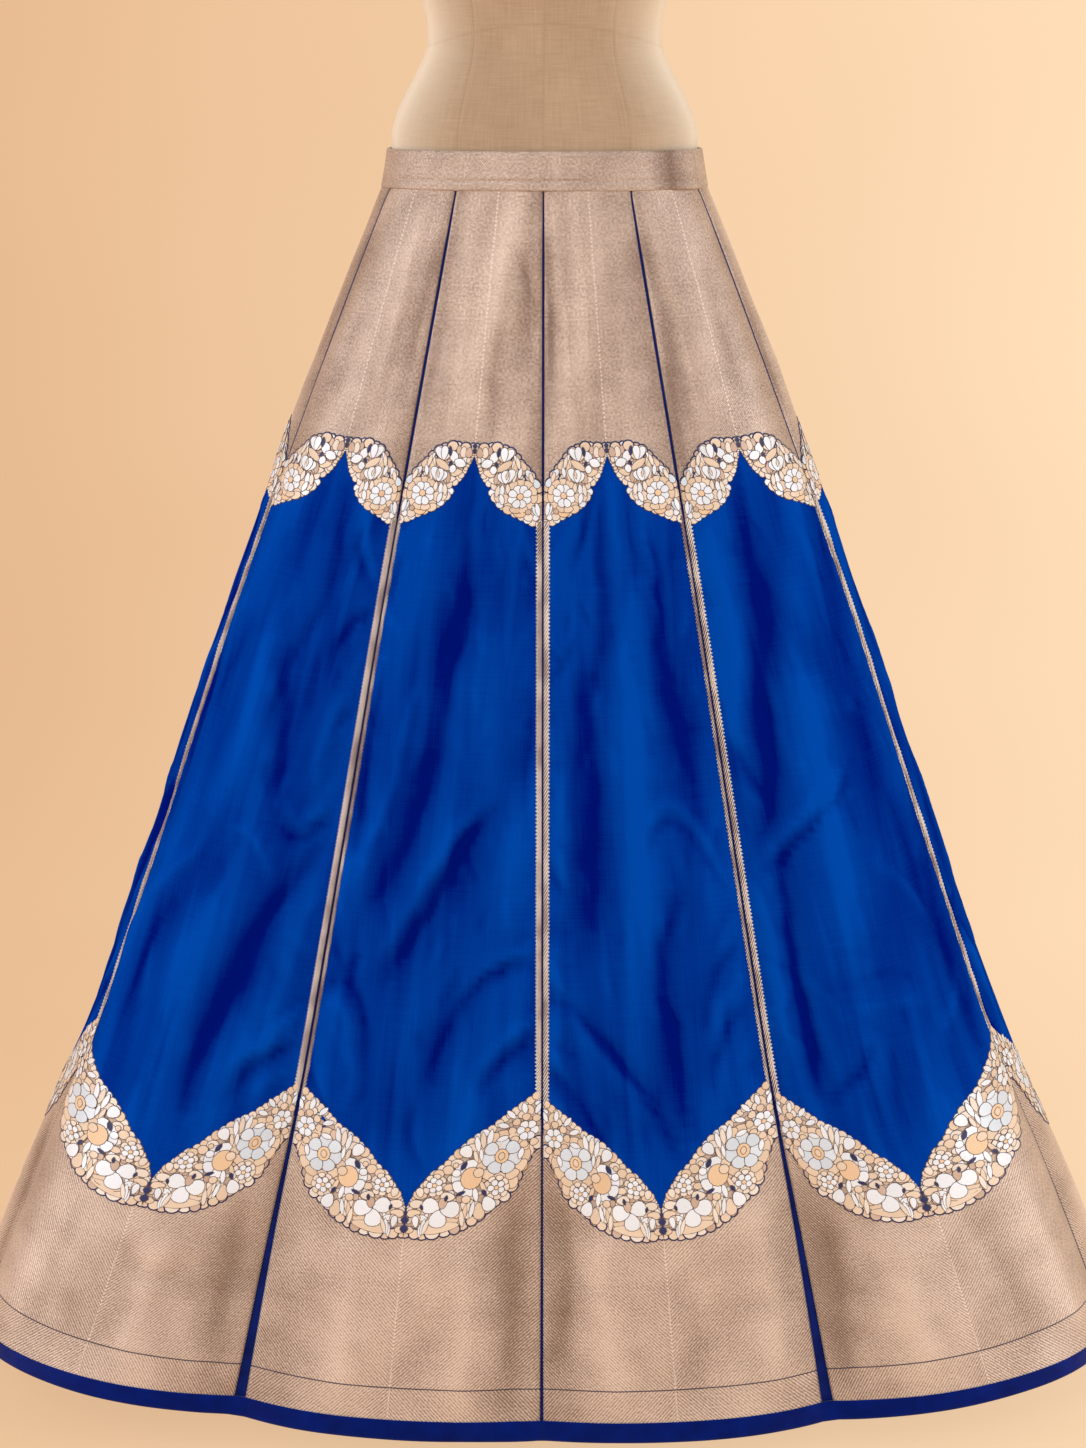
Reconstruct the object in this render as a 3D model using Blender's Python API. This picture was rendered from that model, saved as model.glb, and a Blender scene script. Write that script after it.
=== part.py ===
"""A ten-panel lehenga skirt, worn by a limbless linen dress form on a steel stand.

Metres, +Z up. The floor is z = 0, the pole stands on the Z axis, and the skirt's front faces -Y.
Every cloth piece is a thin wall laid on one flaring surface. A point of that surface is named by its
fall, 0 at the waistband seam and 1 at the hem, and by its share of the way round, from 0 at the
front centre seam towards +X.
"""
import bpy
import numpy as np

# Driving sizes of the skirt.
PANEL_COUNT = 10
SKIRT_LENGTH = 1.110
WAIST_SEAM_HEIGHT = 1.119
HEM_LEVELLING = 0.42
CLOTH = 0.0016
SEAM_GAP = 0.0003

# The skirt down its fall, as (fall, half width, half depth, roundness): 2 is an ellipse, more is boxier.
SECTIONS = (
    (0.00, 0.1455, 0.0950, 2.20),
    (0.10, 0.1895, 0.1102, 2.26),
    (0.30, 0.2727, 0.1407, 2.39),
    (0.60, 0.3860, 0.1864, 2.58),
    (0.72, 0.4320, 0.2047, 2.66),
    (0.85, 0.4920, 0.2245, 2.74),
    (1.00, 0.5560, 0.2474, 2.84),
)

# Each seam sinks into a valley and drifts by a share of the way round, because the cloth spreads
# most across the front. Its blue piping widens to a narrow gusset at the hem: the width is given
# at the falls in PIPING_FALLS. Seam 0 is the front centre, seam 5 the back centre.
SEAM_COLUMNS = ("valley", "drift", "at_waist", "at_scallop", "at_border", "at_hem")
PIPING_FALLS = (0.00, 0.26, 0.74, 1.00)
SEAMS = (
    (0.008, 0.0000, 0.0030, 0.0024, 0.0028, 0.0046),
    (0.023, -0.0040, 0.0040, 0.0026, 0.0050, 0.0180),
    (0.017, 0.0250, 0.0052, 0.0026, 0.0034, 0.0100),
    (0.021, 0.0000, 0.0044, 0.0026, 0.0040, 0.0130),
    (0.024, 0.0000, 0.0040, 0.0026, 0.0048, 0.0170),
    (0.014, 0.0000, 0.0030, 0.0024, 0.0030, 0.0060),
    (0.023, 0.0000, 0.0040, 0.0026, 0.0046, 0.0160),
    (0.020, 0.0000, 0.0044, 0.0026, 0.0040, 0.0120),
    (0.018, -0.0340, 0.0052, 0.0026, 0.0034, 0.0100),
    (0.023, -0.0020, 0.0040, 0.0026, 0.0050, 0.0180),
)
VALLEY_AT_WAIST = 0.001
VALLEY_SHARPNESS = 4.0
VALLEY_GROWTH = 0.8
DRIFT_GROWTH = 0.4

# How finely the cloth is faceted.
PANEL_COLUMNS = 8
PANEL_FALLS = (0.0, 0.04, 0.09, 0.16, 0.24, 0.32, 0.40, 0.48, 0.56, 0.64, 0.72, 0.80, 0.89)
BINDING_FALL = 0.983
OUTLINE_SAMPLES = 1440
LENGTH_STEPS = 40

# The waistband laps its own end at the wearer's left, where it hooks shut.
BAND_HEIGHT = 0.036
BAND_THICKNESS = 0.0024
BAND_TOP_HALF_WIDTH = 0.1397
BAND_TOP_HALF_DEPTH = 0.0915
BAND_END_SHARE = 0.193
BAND_LAP_SHARE = 0.032
BAND_RAMP_SHARE = 0.014
BAND_COLUMNS = 76

# The dress form from its cut underside to the top of its neck, as (height, half width, half depth,
# how far its middle stands forward of the pole).
TORSO = (
    (0.930, 0.1440, 0.0950, 0.000),
    (0.945, 0.1495, 0.0985, 0.000),
    (0.985, 0.1540, 0.1000, 0.000),
    (1.030, 0.1540, 0.0975, 0.000),
    (1.075, 0.1495, 0.0940, 0.000),
    (1.119, 0.1418, 0.0910, 0.000),
    (1.155, 0.1362, 0.0880, 0.000),
    (1.163, 0.1366, 0.0872, 0.000),
    (1.176, 0.1338, 0.0855, 0.000),
    (1.197, 0.1250, 0.0828, 0.000),
    (1.221, 0.1122, 0.0802, 0.000),
    (1.240, 0.1044, 0.0788, 0.000),
    (1.256, 0.1038, 0.0788, 0.000),
    (1.282, 0.1088, 0.0810, 0.001),
    (1.318, 0.1190, 0.0875, 0.004),
    (1.358, 0.1300, 0.0985, 0.009),
    (1.393, 0.1375, 0.1065, 0.012),
    (1.428, 0.1395, 0.1025, 0.010),
    (1.468, 0.1405, 0.0905, 0.006),
    (1.503, 0.1480, 0.0788, 0.002),
    (1.533, 0.1545, 0.0700, 0.000),
    (1.554, 0.1450, 0.0635, 0.000),
    (1.569, 0.1165, 0.0600, 0.000),
    (1.580, 0.0840, 0.0575, 0.000),
    (1.594, 0.0620, 0.0560, 0.000),
    (1.616, 0.0545, 0.0535, 0.000),
    (1.643, 0.0535, 0.0530, 0.000),
)
TORSO_ROUNDNESS = 2.2
TORSO_FACETS = 32

# Turned pieces, as (radius, height) up their outer side; both ends are closed flat.
TURNED_FACETS = 40
POLE_RADIUS = 0.016
NECK_CAP_PROFILE = (
    (0.0500, 0.0000), (0.0525, 0.0020), (0.0525, 0.0100), (0.0490, 0.0140), (0.0300, 0.0180),
    (0.0120, 0.0220), (0.0100, 0.0270), (0.0150, 0.0330), (0.0155, 0.0400), (0.0110, 0.0460),
)
SOCKET_PROFILE = ((0.0240, 0.0000), (0.0240, 0.0300), (0.0600, 0.0360), (0.0600, 0.0400))
BASE_PROFILE = (
    (0.1700, 0.0000), (0.1730, 0.0030), (0.1720, 0.0080), (0.1600, 0.0115), (0.0900, 0.0150),
    (0.0340, 0.0190), (0.0280, 0.0240), (0.0270, 0.0337),
)

# Colours of each finish: red, green, blue, roughness and metallic.
FINISHES = {
    "silk_and_zari": (0.010, 0.040, 0.270, 0.42, 0.0),
    "zari_band": (0.540, 0.370, 0.270, 0.45, 0.2),
    "blue_silk": (0.002, 0.018, 0.180, 0.45, 0.0),
    "linen": (0.480, 0.300, 0.175, 0.85, 0.0),
    "turned_wood": (0.250, 0.120, 0.050, 0.45, 0.0),
    "brushed_steel": (0.550, 0.550, 0.560, 0.32, 1.0),
}


def clear_scene():
    for thing in list(bpy.data.objects):
        bpy.data.objects.remove(thing, do_unlink=True)


def finish(name):
    """The material of this name, made the first time that a piece asks for it."""
    known = bpy.data.materials.get(name)
    if known is not None:
        return known
    red, green, blue, roughness, metallic = FINISHES[name]
    material = bpy.data.materials.new(name)
    material.use_nodes = True
    shader = material.node_tree.nodes["Principled BSDF"]
    shader.inputs["Base Color"].default_value = (red, green, blue, 1.0)
    shader.inputs["Roughness"].default_value = roughness
    shader.inputs["Metallic"].default_value = metallic
    return material


def add_piece(name, points, faces, finish_name):
    mesh = bpy.data.meshes.new(name)
    mesh.from_pydata([tuple(map(float, point)) for point in points], [], faces)
    mesh.materials.append(finish(finish_name))
    mesh.shade_smooth()
    mesh.set_sharp_from_angle(angle=np.radians(40.0))
    bpy.context.collection.objects.link(bpy.data.objects.new(name, mesh))


# The skirt's surface.

def section(fall):
    """Half width, half depth and roundness at a fall, on a smooth curve through SECTIONS."""
    table = np.array(SECTIONS)
    falls = table[:, 0]
    slopes = np.gradient(table[:, 1:], falls, axis=0)
    row = int(np.clip(np.searchsorted(falls, fall) - 1, 0, len(falls) - 2))
    span = falls[row + 1] - falls[row]
    part = (fall - falls[row]) / span
    start = (1 + 2 * part) * (1 - part) ** 2 * table[row, 1:]
    end = part ** 2 * (3 - 2 * part) * table[row + 1, 1:]
    leave = part * (1 - part) ** 2 * span * slopes[row]
    arrive = part ** 2 * (part - 1) * span * slopes[row + 1]
    return start + end + leave + arrive


def outline(half_width, half_depth, roundness, shares):
    """Points and outward normals of a closed section at these shares of its own length."""
    angles = np.linspace(-0.5 * np.pi, 1.5 * np.pi, OUTLINE_SAMPLES + 1)
    across = np.cos(angles)
    deep = np.sin(angles)
    x = half_width * np.sign(across) * np.abs(across) ** (2 / roundness)
    y = half_depth * np.sign(deep) * np.abs(deep) ** (2 / roundness)
    length = np.concatenate(([0.0], np.cumsum(np.hypot(np.diff(x), np.diff(y)))))
    here = (np.asarray(shares) % 1.0) * length[-1]
    nudge = 0.002 * length[-1]

    def point_at(distance):
        distance = distance % length[-1]
        return np.stack((np.interp(distance, length, x), np.interp(distance, length, y)), axis=-1)

    along = point_at(here + nudge) - point_at(here - nudge)
    along /= np.linalg.norm(along, axis=-1, keepdims=True)
    return point_at(here), np.stack((along[:, 1], -along[:, 0]), axis=-1), length[-1]


def heights(falls, shares):
    """Height of each point: panels of one length drop less where they flare more.

    HEM_LEVELLING is how far the cutter has lengthened the side panels to level the hem.
    """
    ladder = np.linspace(0.0, 1.0, LENGTH_STEPS + 1)
    with_front = np.concatenate((np.asarray(shares), [0.0]))
    rungs = np.array([outline(*section(rung), with_front)[0] for rung in ladder])
    run = np.linalg.norm(np.diff(rungs, axis=0), axis=-1)
    drop = np.sqrt((SKIRT_LENGTH / LENGTH_STEPS) ** 2 - run ** 2)
    front = drop[:, -1:]
    drop = front + (drop[:, :-1] - front) * (1 - HEM_LEVELLING)
    below = np.vstack((np.zeros(drop.shape[1]), np.cumsum(drop, axis=0)))
    columns = [np.interp(falls, ladder, column) for column in below.T]
    return WAIST_SEAM_HEIGHT - np.array(columns).T


def seam_column(name):
    return np.array(SEAMS)[:, SEAM_COLUMNS.index(name)]


def seam_shares(fall):
    """Where the seams lie at a fall, from seam 0 round to seam 0 again."""
    drift = seam_column("drift") * fall ** DRIFT_GROWTH
    return np.arange(PANEL_COUNT + 1) / PANEL_COUNT + np.append(drift, drift[0])


def valley(fall, shares):
    """How far the cloth sinks at each share: most at a seam, nothing in the middle of a panel."""
    depths = seam_column("valley") * fall ** VALLEY_GROWTH + VALLEY_AT_WAIST
    place = np.interp(np.asarray(shares) % 1.0, seam_shares(fall), np.arange(PANEL_COUNT + 1))
    seam = np.floor(place).astype(int) % PANEL_COUNT
    across = place - np.floor(place)
    near = depths[seam] * (1 - across) ** VALLEY_SHARPNESS
    far = depths[(seam + 1) % PANEL_COUNT] * across ** VALLEY_SHARPNESS
    return near + far


def cloth_grid(falls, share_rows):
    """Outer points of the cloth, a row for each fall and a column for each share."""
    share_rows = np.asarray(share_rows)
    grid = np.zeros(share_rows.shape + (3,))
    for row, fall in enumerate(falls):
        points, outward, _ = outline(*section(fall), share_rows[row])
        grid[row, :, :2] = points - outward * valley(fall, share_rows[row])[:, None]
        grid[row, :, 2] = heights([fall], share_rows[row])[0]
    return grid


def grid_normals(grid, closed):
    """Outward normals of a grid whose rows run down and whose columns run towards +X."""
    if closed:
        across = np.roll(grid, -1, axis=1) - np.roll(grid, 1, axis=1)
    else:
        across = np.gradient(grid, axis=1)
    down = np.gradient(grid, axis=0)
    normals = np.cross(down, across)
    return normals / np.linalg.norm(normals, axis=-1, keepdims=True)


def add_wall(name, outer, thickness, finish_name, closed=False):
    """A closed solid between a grid of outer points and the same grid moved inwards."""
    rows, columns = outer.shape[:2]
    inner = outer - grid_normals(outer, closed) * thickness
    points = np.concatenate((outer.reshape(-1, 3), inner.reshape(-1, 3)))
    inside = rows * columns

    def at(row, column):
        return row * columns + column % columns

    spans = columns if closed else columns - 1
    faces = []
    for row in range(rows - 1):
        for column in range(spans):
            quad = (at(row, column), at(row + 1, column), at(row + 1, column + 1), at(row, column + 1))
            faces.append(quad)
            faces.append(tuple(inside + corner for corner in reversed(quad)))
    for column in range(spans):
        top = (at(0, column), at(0, column + 1))
        bottom = (at(rows - 1, column + 1), at(rows - 1, column))
        for first, second in (top, bottom):
            faces.append((first, second, inside + second, inside + first))
    if not closed:
        for row in range(rows - 1):
            left = (at(row + 1, 0), at(row, 0))
            right = (at(row, columns - 1), at(row + 1, columns - 1))
            for first, second in (left, right):
                faces.append((first, second, inside + second, inside + first))
    add_piece(name, points, faces, finish_name)


# The skirt's pieces.

def piping_share(seam, fall):
    """Half of the piping's width at a seam, as a share of the way round at that fall."""
    widths = SEAMS[seam % PANEL_COUNT][SEAM_COLUMNS.index("at_waist"):]
    girth = outline(*section(fall), [0.0])[2]
    return 0.5 * np.interp(fall, PIPING_FALLS, widths) / girth


def panel_shares(panel, fall):
    """Shares of a panel's points across one row, from one piping edge to the next."""
    seams = seam_shares(fall)
    start = seams[panel] + piping_share(panel, fall)
    end = seams[panel + 1] - piping_share(panel + 1, fall)
    return np.linspace(start, end, PANEL_COLUMNS + 1)


def panel_falls():
    """Falls of a panel's rows, from just under the waistband to just above the hem binding."""
    gap = SEAM_GAP / SKIRT_LENGTH
    return (gap,) + PANEL_FALLS[1:] + (BINDING_FALL - gap,)


def add_panels():
    for panel in range(PANEL_COUNT):
        rows = [panel_shares(panel, fall) for fall in panel_falls()]
        add_wall(f"kali_{panel + 1}", cloth_grid(panel_falls(), rows), CLOTH, "silk_and_zari")


def add_seam_pipings():
    for seam in range(PANEL_COUNT):
        rows = []
        for fall in panel_falls():
            girth = outline(*section(fall), [0.0])[2]
            half = piping_share(seam, fall) - SEAM_GAP / girth
            middle = seam_shares(fall)[seam]
            rows.append([middle - half, middle + half])
        add_wall(f"seam_piping_{seam + 1}", cloth_grid(panel_falls(), rows), CLOTH, "blue_silk")


def add_hem_binding():
    falls = (BINDING_FALL, 1.0)
    rows = [np.concatenate([panel_shares(panel, fall) for panel in range(PANEL_COUNT)]) for fall in falls]
    add_wall("hem_binding", cloth_grid(falls, rows), CLOTH, "blue_silk", closed=True)


def add_waistband():
    """A folded strip, wound once round from under its own end to the visible lap."""
    shares = np.linspace(BAND_END_SHARE - 1 - BAND_LAP_SHARE, BAND_END_SHARE, BAND_COLUMNS)
    rise = (shares - (BAND_END_SHARE - BAND_LAP_SHARE - BAND_RAMP_SHARE)) / (0.7 * BAND_RAMP_SHARE)
    lift = np.clip(rise, 0.0, 1.0) * (BAND_THICKNESS + SEAM_GAP)
    _, half_width, half_depth, roundness = SECTIONS[0]
    sizes = (
        (WAIST_SEAM_HEIGHT + BAND_HEIGHT, BAND_TOP_HALF_WIDTH, BAND_TOP_HALF_DEPTH),
        (WAIST_SEAM_HEIGHT, half_width, half_depth),
    )
    grid = np.zeros((len(sizes), BAND_COLUMNS, 3))
    for row, (height, width, depth) in enumerate(sizes):
        points, outward, _ = outline(width, depth, roundness, shares)
        grid[row, :, :2] = points + outward * lift[:, None]
        grid[row, :, 2] = height
    add_wall("waistband", grid, BAND_THICKNESS, "zari_band")


# The dress form and its stand.

def add_torso():
    """The linen-covered form: rings of one roundness, closed flat at the underside and the neck."""
    shares = np.arange(TORSO_FACETS) / TORSO_FACETS
    points = []
    for height, half_width, half_depth, forward in TORSO:
        ring = outline(half_width, half_depth, TORSO_ROUNDNESS, shares)[0]
        points.extend((x, y - forward, height) for x, y in ring)
    faces = []
    for row in range(len(TORSO) - 1):
        for column in range(TORSO_FACETS):
            after = (column + 1) % TORSO_FACETS
            low = row * TORSO_FACETS
            high = low + TORSO_FACETS
            faces.append((low + column, low + after, high + after, high + column))
    top = (len(TORSO) - 1) * TORSO_FACETS
    faces.append(tuple(reversed(range(TORSO_FACETS))))
    faces.append(tuple(range(top, top + TORSO_FACETS)))
    add_piece("form_torso", points, faces, "linen")


def add_turned(name, profile, foot, finish_name):
    """A turned solid about the Z axis, standing at height foot."""
    points = []
    for radius, height in profile:
        for step in range(TURNED_FACETS):
            angle = 2 * np.pi * step / TURNED_FACETS
            points.append((radius * np.cos(angle), radius * np.sin(angle), foot + height))
    faces = []
    for row in range(len(profile) - 1):
        for step in range(TURNED_FACETS):
            after = (step + 1) % TURNED_FACETS
            low = row * TURNED_FACETS
            high = low + TURNED_FACETS
            faces.append((low + step, low + after, high + after, high + step))
    top = (len(profile) - 1) * TURNED_FACETS
    faces.append(tuple(reversed(range(TURNED_FACETS))))
    faces.append(tuple(range(top, top + TURNED_FACETS)))
    add_piece(name, points, faces, finish_name)


def add_stand():
    torso_foot = TORSO[0][0]
    socket_foot = torso_foot - SEAM_GAP - SOCKET_PROFILE[-1][1]
    pole_foot = BASE_PROFILE[-1][1] + SEAM_GAP
    pole_profile = ((POLE_RADIUS, 0.0), (POLE_RADIUS, socket_foot - SEAM_GAP - pole_foot))
    add_turned("stand_base", BASE_PROFILE, 0.0, "brushed_steel")
    add_turned("stand_pole", pole_profile, pole_foot, "brushed_steel")
    add_turned("pole_socket", SOCKET_PROFILE, socket_foot, "brushed_steel")
    add_turned("neck_cap", NECK_CAP_PROFILE, TORSO[-1][0] + SEAM_GAP, "turned_wood")


clear_scene()
add_panels()
add_seam_pipings()
add_hem_binding()
add_waistband()
add_torso()
add_stand()
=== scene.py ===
"""The looks of a ten-kali lehenga skirt of royal blue silk and rose-gold zari, on a limbless dress form.

Metres, +Z up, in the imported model's own frame. The front of the skirt faces -Y, and the wearer's left
is towards +X.
"""

import bpy
import numpy as np
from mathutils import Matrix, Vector


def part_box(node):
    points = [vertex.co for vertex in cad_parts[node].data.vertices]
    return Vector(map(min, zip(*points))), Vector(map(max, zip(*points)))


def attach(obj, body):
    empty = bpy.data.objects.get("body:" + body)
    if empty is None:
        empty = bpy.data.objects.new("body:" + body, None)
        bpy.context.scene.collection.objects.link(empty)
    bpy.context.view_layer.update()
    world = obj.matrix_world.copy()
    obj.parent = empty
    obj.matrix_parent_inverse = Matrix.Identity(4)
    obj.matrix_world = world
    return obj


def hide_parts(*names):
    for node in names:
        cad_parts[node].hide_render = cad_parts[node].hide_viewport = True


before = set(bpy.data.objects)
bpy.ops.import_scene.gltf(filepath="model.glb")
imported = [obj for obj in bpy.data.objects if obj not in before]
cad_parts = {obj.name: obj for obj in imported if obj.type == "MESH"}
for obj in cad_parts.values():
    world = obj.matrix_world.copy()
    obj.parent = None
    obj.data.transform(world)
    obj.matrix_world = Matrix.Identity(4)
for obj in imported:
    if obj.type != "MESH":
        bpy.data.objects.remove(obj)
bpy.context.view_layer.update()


# ------------------------------------------------------------------------------------------------
# Dress form torso. A papier-mache shell under a thin pad, covered in unbleached linen that is cut
# in panels: they meet in seams down the front, back, sides and princess lines, and round the waist.

# The torso up its height, as (height, half width, half depth, how far its middle lies forward).
TORSO = (
    (0.930, 0.1440, 0.0950, 0.000),
    (0.945, 0.1495, 0.0985, 0.000),
    (0.985, 0.1540, 0.1000, 0.000),
    (1.030, 0.1540, 0.0975, 0.000),
    (1.075, 0.1495, 0.0940, 0.000),
    (1.119, 0.1418, 0.0910, 0.000),
    (1.155, 0.1362, 0.0880, 0.000),
    (1.163, 0.1366, 0.0872, 0.000),
    (1.176, 0.1338, 0.0855, 0.000),
    (1.197, 0.1250, 0.0828, 0.000),
    (1.221, 0.1122, 0.0802, 0.000),
    (1.240, 0.1044, 0.0788, 0.000),
    (1.256, 0.1038, 0.0788, 0.000),
    (1.282, 0.1088, 0.0810, 0.001),
    (1.318, 0.1190, 0.0875, 0.004),
    (1.358, 0.1300, 0.0985, 0.009),
    (1.393, 0.1375, 0.1065, 0.012),
    (1.428, 0.1395, 0.1025, 0.010),
    (1.468, 0.1405, 0.0905, 0.006),
    (1.503, 0.1480, 0.0788, 0.002),
    (1.533, 0.1545, 0.0700, 0.000),
    (1.554, 0.1450, 0.0635, 0.000),
    (1.569, 0.1165, 0.0600, 0.000),
    (1.580, 0.0840, 0.0575, 0.000),
    (1.594, 0.0620, 0.0560, 0.000),
    (1.616, 0.0545, 0.0535, 0.000),
    (1.643, 0.0535, 0.0530, 0.000),
)
TORSO_ROUNDNESS = 2.2
TORSO_STRIPS = 88
TORSO_RINGS = 120
# Shares of the way round, from the front centre towards +X, where the cover's seams run down.
FORM_SEAMS = (0.0, 0.105, 0.25, 0.385, 0.5, 0.615, 0.75, 0.895)
FORM_WAIST_SEAM = 1.250
FORM_WAIST_DIP = 0.010
FORM_SEAM_SINK = 0.0002
FORM_SEAM_HALF_WIDTH = 0.0011
WEAVE_GIRTH = 0.8
LINEN_LIGHT = (0.560, 0.390, 0.255)
LINEN_DARK = (0.370, 0.240, 0.145)
# The paler colour painted on the cover as sheen where it turns away from the view.
LINEN_PAINTED_SHEEN = (0.860, 0.720, 0.560)
SEAM_TINT = (0.22, 0.13, 0.07)
OUTLINE_SAMPLES = 1440


def outline(half_width, half_depth, roundness, shares):
    """Points and outward normals of a closed section at these shares of its length, and its girth."""
    angles = np.linspace(-0.5 * np.pi, 1.5 * np.pi, OUTLINE_SAMPLES + 1)
    across = np.cos(angles)
    deep = np.sin(angles)
    x = half_width * np.sign(across) * np.abs(across) ** (2 / roundness)
    y = half_depth * np.sign(deep) * np.abs(deep) ** (2 / roundness)
    length = np.concatenate(([0.0], np.cumsum(np.hypot(np.diff(x), np.diff(y)))))
    here = (np.asarray(shares) % 1.0) * length[-1]
    nudge = 0.002 * length[-1]

    def point_at(distance):
        distance = distance % length[-1]
        return np.stack((np.interp(distance, length, x), np.interp(distance, length, y)), axis=-1)

    along = point_at(here + nudge) - point_at(here - nudge)
    along /= np.linalg.norm(along, axis=-1, keepdims=True)
    return point_at(here), np.stack((along[:, 1], -along[:, 0]), axis=-1), length[-1]


def smooth_rows(table, places):
    """Rows of a table at these values of its first column, on a smooth curve through its own rows."""
    table = np.asarray(table)
    known = table[:, 0]
    slopes = np.gradient(table[:, 1:], known, axis=0)
    row = np.clip(np.searchsorted(known, places) - 1, 0, len(known) - 2)
    span = (known[row + 1] - known[row])[:, None]
    part = (np.asarray(places)[:, None] - known[row][:, None]) / span
    start = (1 + 2 * part) * (1 - part) ** 2 * table[row, 1:]
    end = part ** 2 * (3 - 2 * part) * table[row + 1, 1:]
    leave = part * (1 - part) ** 2 * span * slopes[row]
    arrive = part ** 2 * (part - 1) * span * slopes[row + 1]
    return start + end + leave + arrive


def crowd(places, centres, reach, copies=3):
    """These places with more of them close to each centre, so that a seam there has facets of its own."""
    extra = [centre + reach * step / copies for centre in centres for step in range(-copies, copies + 1)]
    return np.unique(np.round(np.concatenate((places, extra)), 6))


def cells(grid, along_rows=True):
    """The corners of each cell of a grid, in order round it, from along its rows or down its columns."""
    first, right, below, last = grid[:-1, :-1], grid[:-1, 1:], grid[1:, :-1], grid[1:, 1:]
    corners = (first, right, last, below) if along_rows else (first, below, last, right)
    return np.stack(corners, axis=2).reshape(-1, 4, *grid.shape[2:])


def add_mesh(name, points, faces, materials, face_materials=None, maps=None, values=None):
    """A smooth-shaded mesh, with UV maps of a pair for each corner and values of a number for each point."""
    mesh = bpy.data.meshes.new(name)
    mesh.from_pydata(np.asarray(points).tolist(), [], [list(map(int, face)) for face in faces])
    for material in materials:
        mesh.materials.append(material)
    if face_materials is not None:
        mesh.polygons.foreach_set("material_index", np.asarray(face_materials, dtype=np.int32))
    for map_name, corners in (maps or {}).items():
        layer = mesh.uv_layers.new(name=map_name)
        layer.uv.foreach_set("vector", np.asarray(corners, dtype=np.float32).ravel())
    for value_name, numbers in (values or {}).items():
        attribute = mesh.attributes.new(value_name, "FLOAT", "POINT")
        attribute.data.foreach_set("value", np.asarray(numbers, dtype=np.float32))
    mesh.shade_smooth()
    piece = bpy.data.objects.new(name, mesh)
    bpy.context.collection.objects.link(piece)
    return piece


def place(tree, kind, inputs=None, **settings):
    """A node of this kind in the tree, with its settings, and with a value or a link for each input."""
    node = tree.nodes.new(kind)
    for setting, value in settings.items():
        setattr(node, setting, value)
    for socket, value in (inputs or {}).items():
        if isinstance(value, bpy.types.NodeSocket):
            tree.links.new(value, node.inputs[socket])
        else:
            node.inputs[socket].default_value = value
    return node


def reckon(tree, operation, *values, clamp=False):
    """The output of a Math node."""
    inputs = dict(enumerate(values))
    return place(tree, "ShaderNodeMath", inputs, operation=operation, use_clamp=clamp).outputs[0]


def add_up(tree, *values):
    """The sum of these values, held between 0 and 1."""
    total = values[0]
    for value in values[1:]:
        total = reckon(tree, "ADD", total, value, clamp=value is values[-1])
    return total


def tint(tree, factor, first, second):
    """The output of a colour Mix node: first where the factor is 0, second where it is 1."""
    inputs = {0: factor, 6: opaque(first), 7: opaque(second)}
    return place(tree, "ShaderNodeMix", inputs, data_type="RGBA").outputs[2]


def opaque(colour):
    """A colour with full alpha; a link is left as it is."""
    return colour if isinstance(colour, bpy.types.NodeSocket) else (*colour, 1.0)


def spread(tree, value, low, high, to_low=0.0, to_high=1.0):
    """A value carried from one range to another and held inside it."""
    inputs = {"Value": value, "From Min": low, "From Max": high, "To Min": to_low, "To Max": to_high}
    return place(tree, "ShaderNodeMapRange", inputs, clamp=True).outputs[0]


def stretch(tree, where, scales):
    """A place with each of its axes multiplied by its own scale."""
    return place(tree, "ShaderNodeVectorMath", {0: where, 1: scales}, operation="MULTIPLY").outputs[0]


def noise(tree, where, scale=1.0, detail=2.0, distortion=0.0):
    """The output of a Noise Texture node."""
    inputs = {"Vector": where, "Scale": scale, "Detail": detail, "Distortion": distortion}
    return place(tree, "ShaderNodeTexNoise", inputs).outputs[0]


def value_named(tree, name):
    """One of the values that a mesh carries for each of its points."""
    return place(tree, "ShaderNodeAttribute", attribute_name=name).outputs["Fac"]


def new_effect(name, takes, gives):
    """A shader node group with named inputs and outputs, and its two end nodes."""
    group = bpy.data.node_groups.new(name, "ShaderNodeTree")
    for socket, kind, value in takes:
        made = group.interface.new_socket(socket, in_out="INPUT", socket_type=kind)
        if value is not None:
            made.default_value = value
    for socket, kind in gives:
        group.interface.new_socket(socket, in_out="OUTPUT", socket_type=kind)
    return group, group.nodes.new("NodeGroupInput"), group.nodes.new("NodeGroupOutput")


def use_effect(tree, group, inputs):
    """The outputs of a node group fed with these inputs."""
    return place(tree, "ShaderNodeGroup", inputs, node_tree=group).outputs


def new_finish(name, **constants):
    """A material with an empty Principled shader, whose constant inputs are set here."""
    material = bpy.data.materials.new(name)
    material.use_nodes = True
    shader = material.node_tree.nodes["Principled BSDF"]
    for socket, value in constants.items():
        shader.inputs[socket.replace("_", " ")].default_value = value
    return material, material.node_tree, shader


def emboss(tree, shader, height, distance):
    """Feeds the shader's normal with a bump of this height in metres."""
    bump = place(tree, "ShaderNodeBump", {"Height": height, "Distance": distance})
    tree.links.new(bump.outputs[0], shader.inputs["Normal"])


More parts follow.
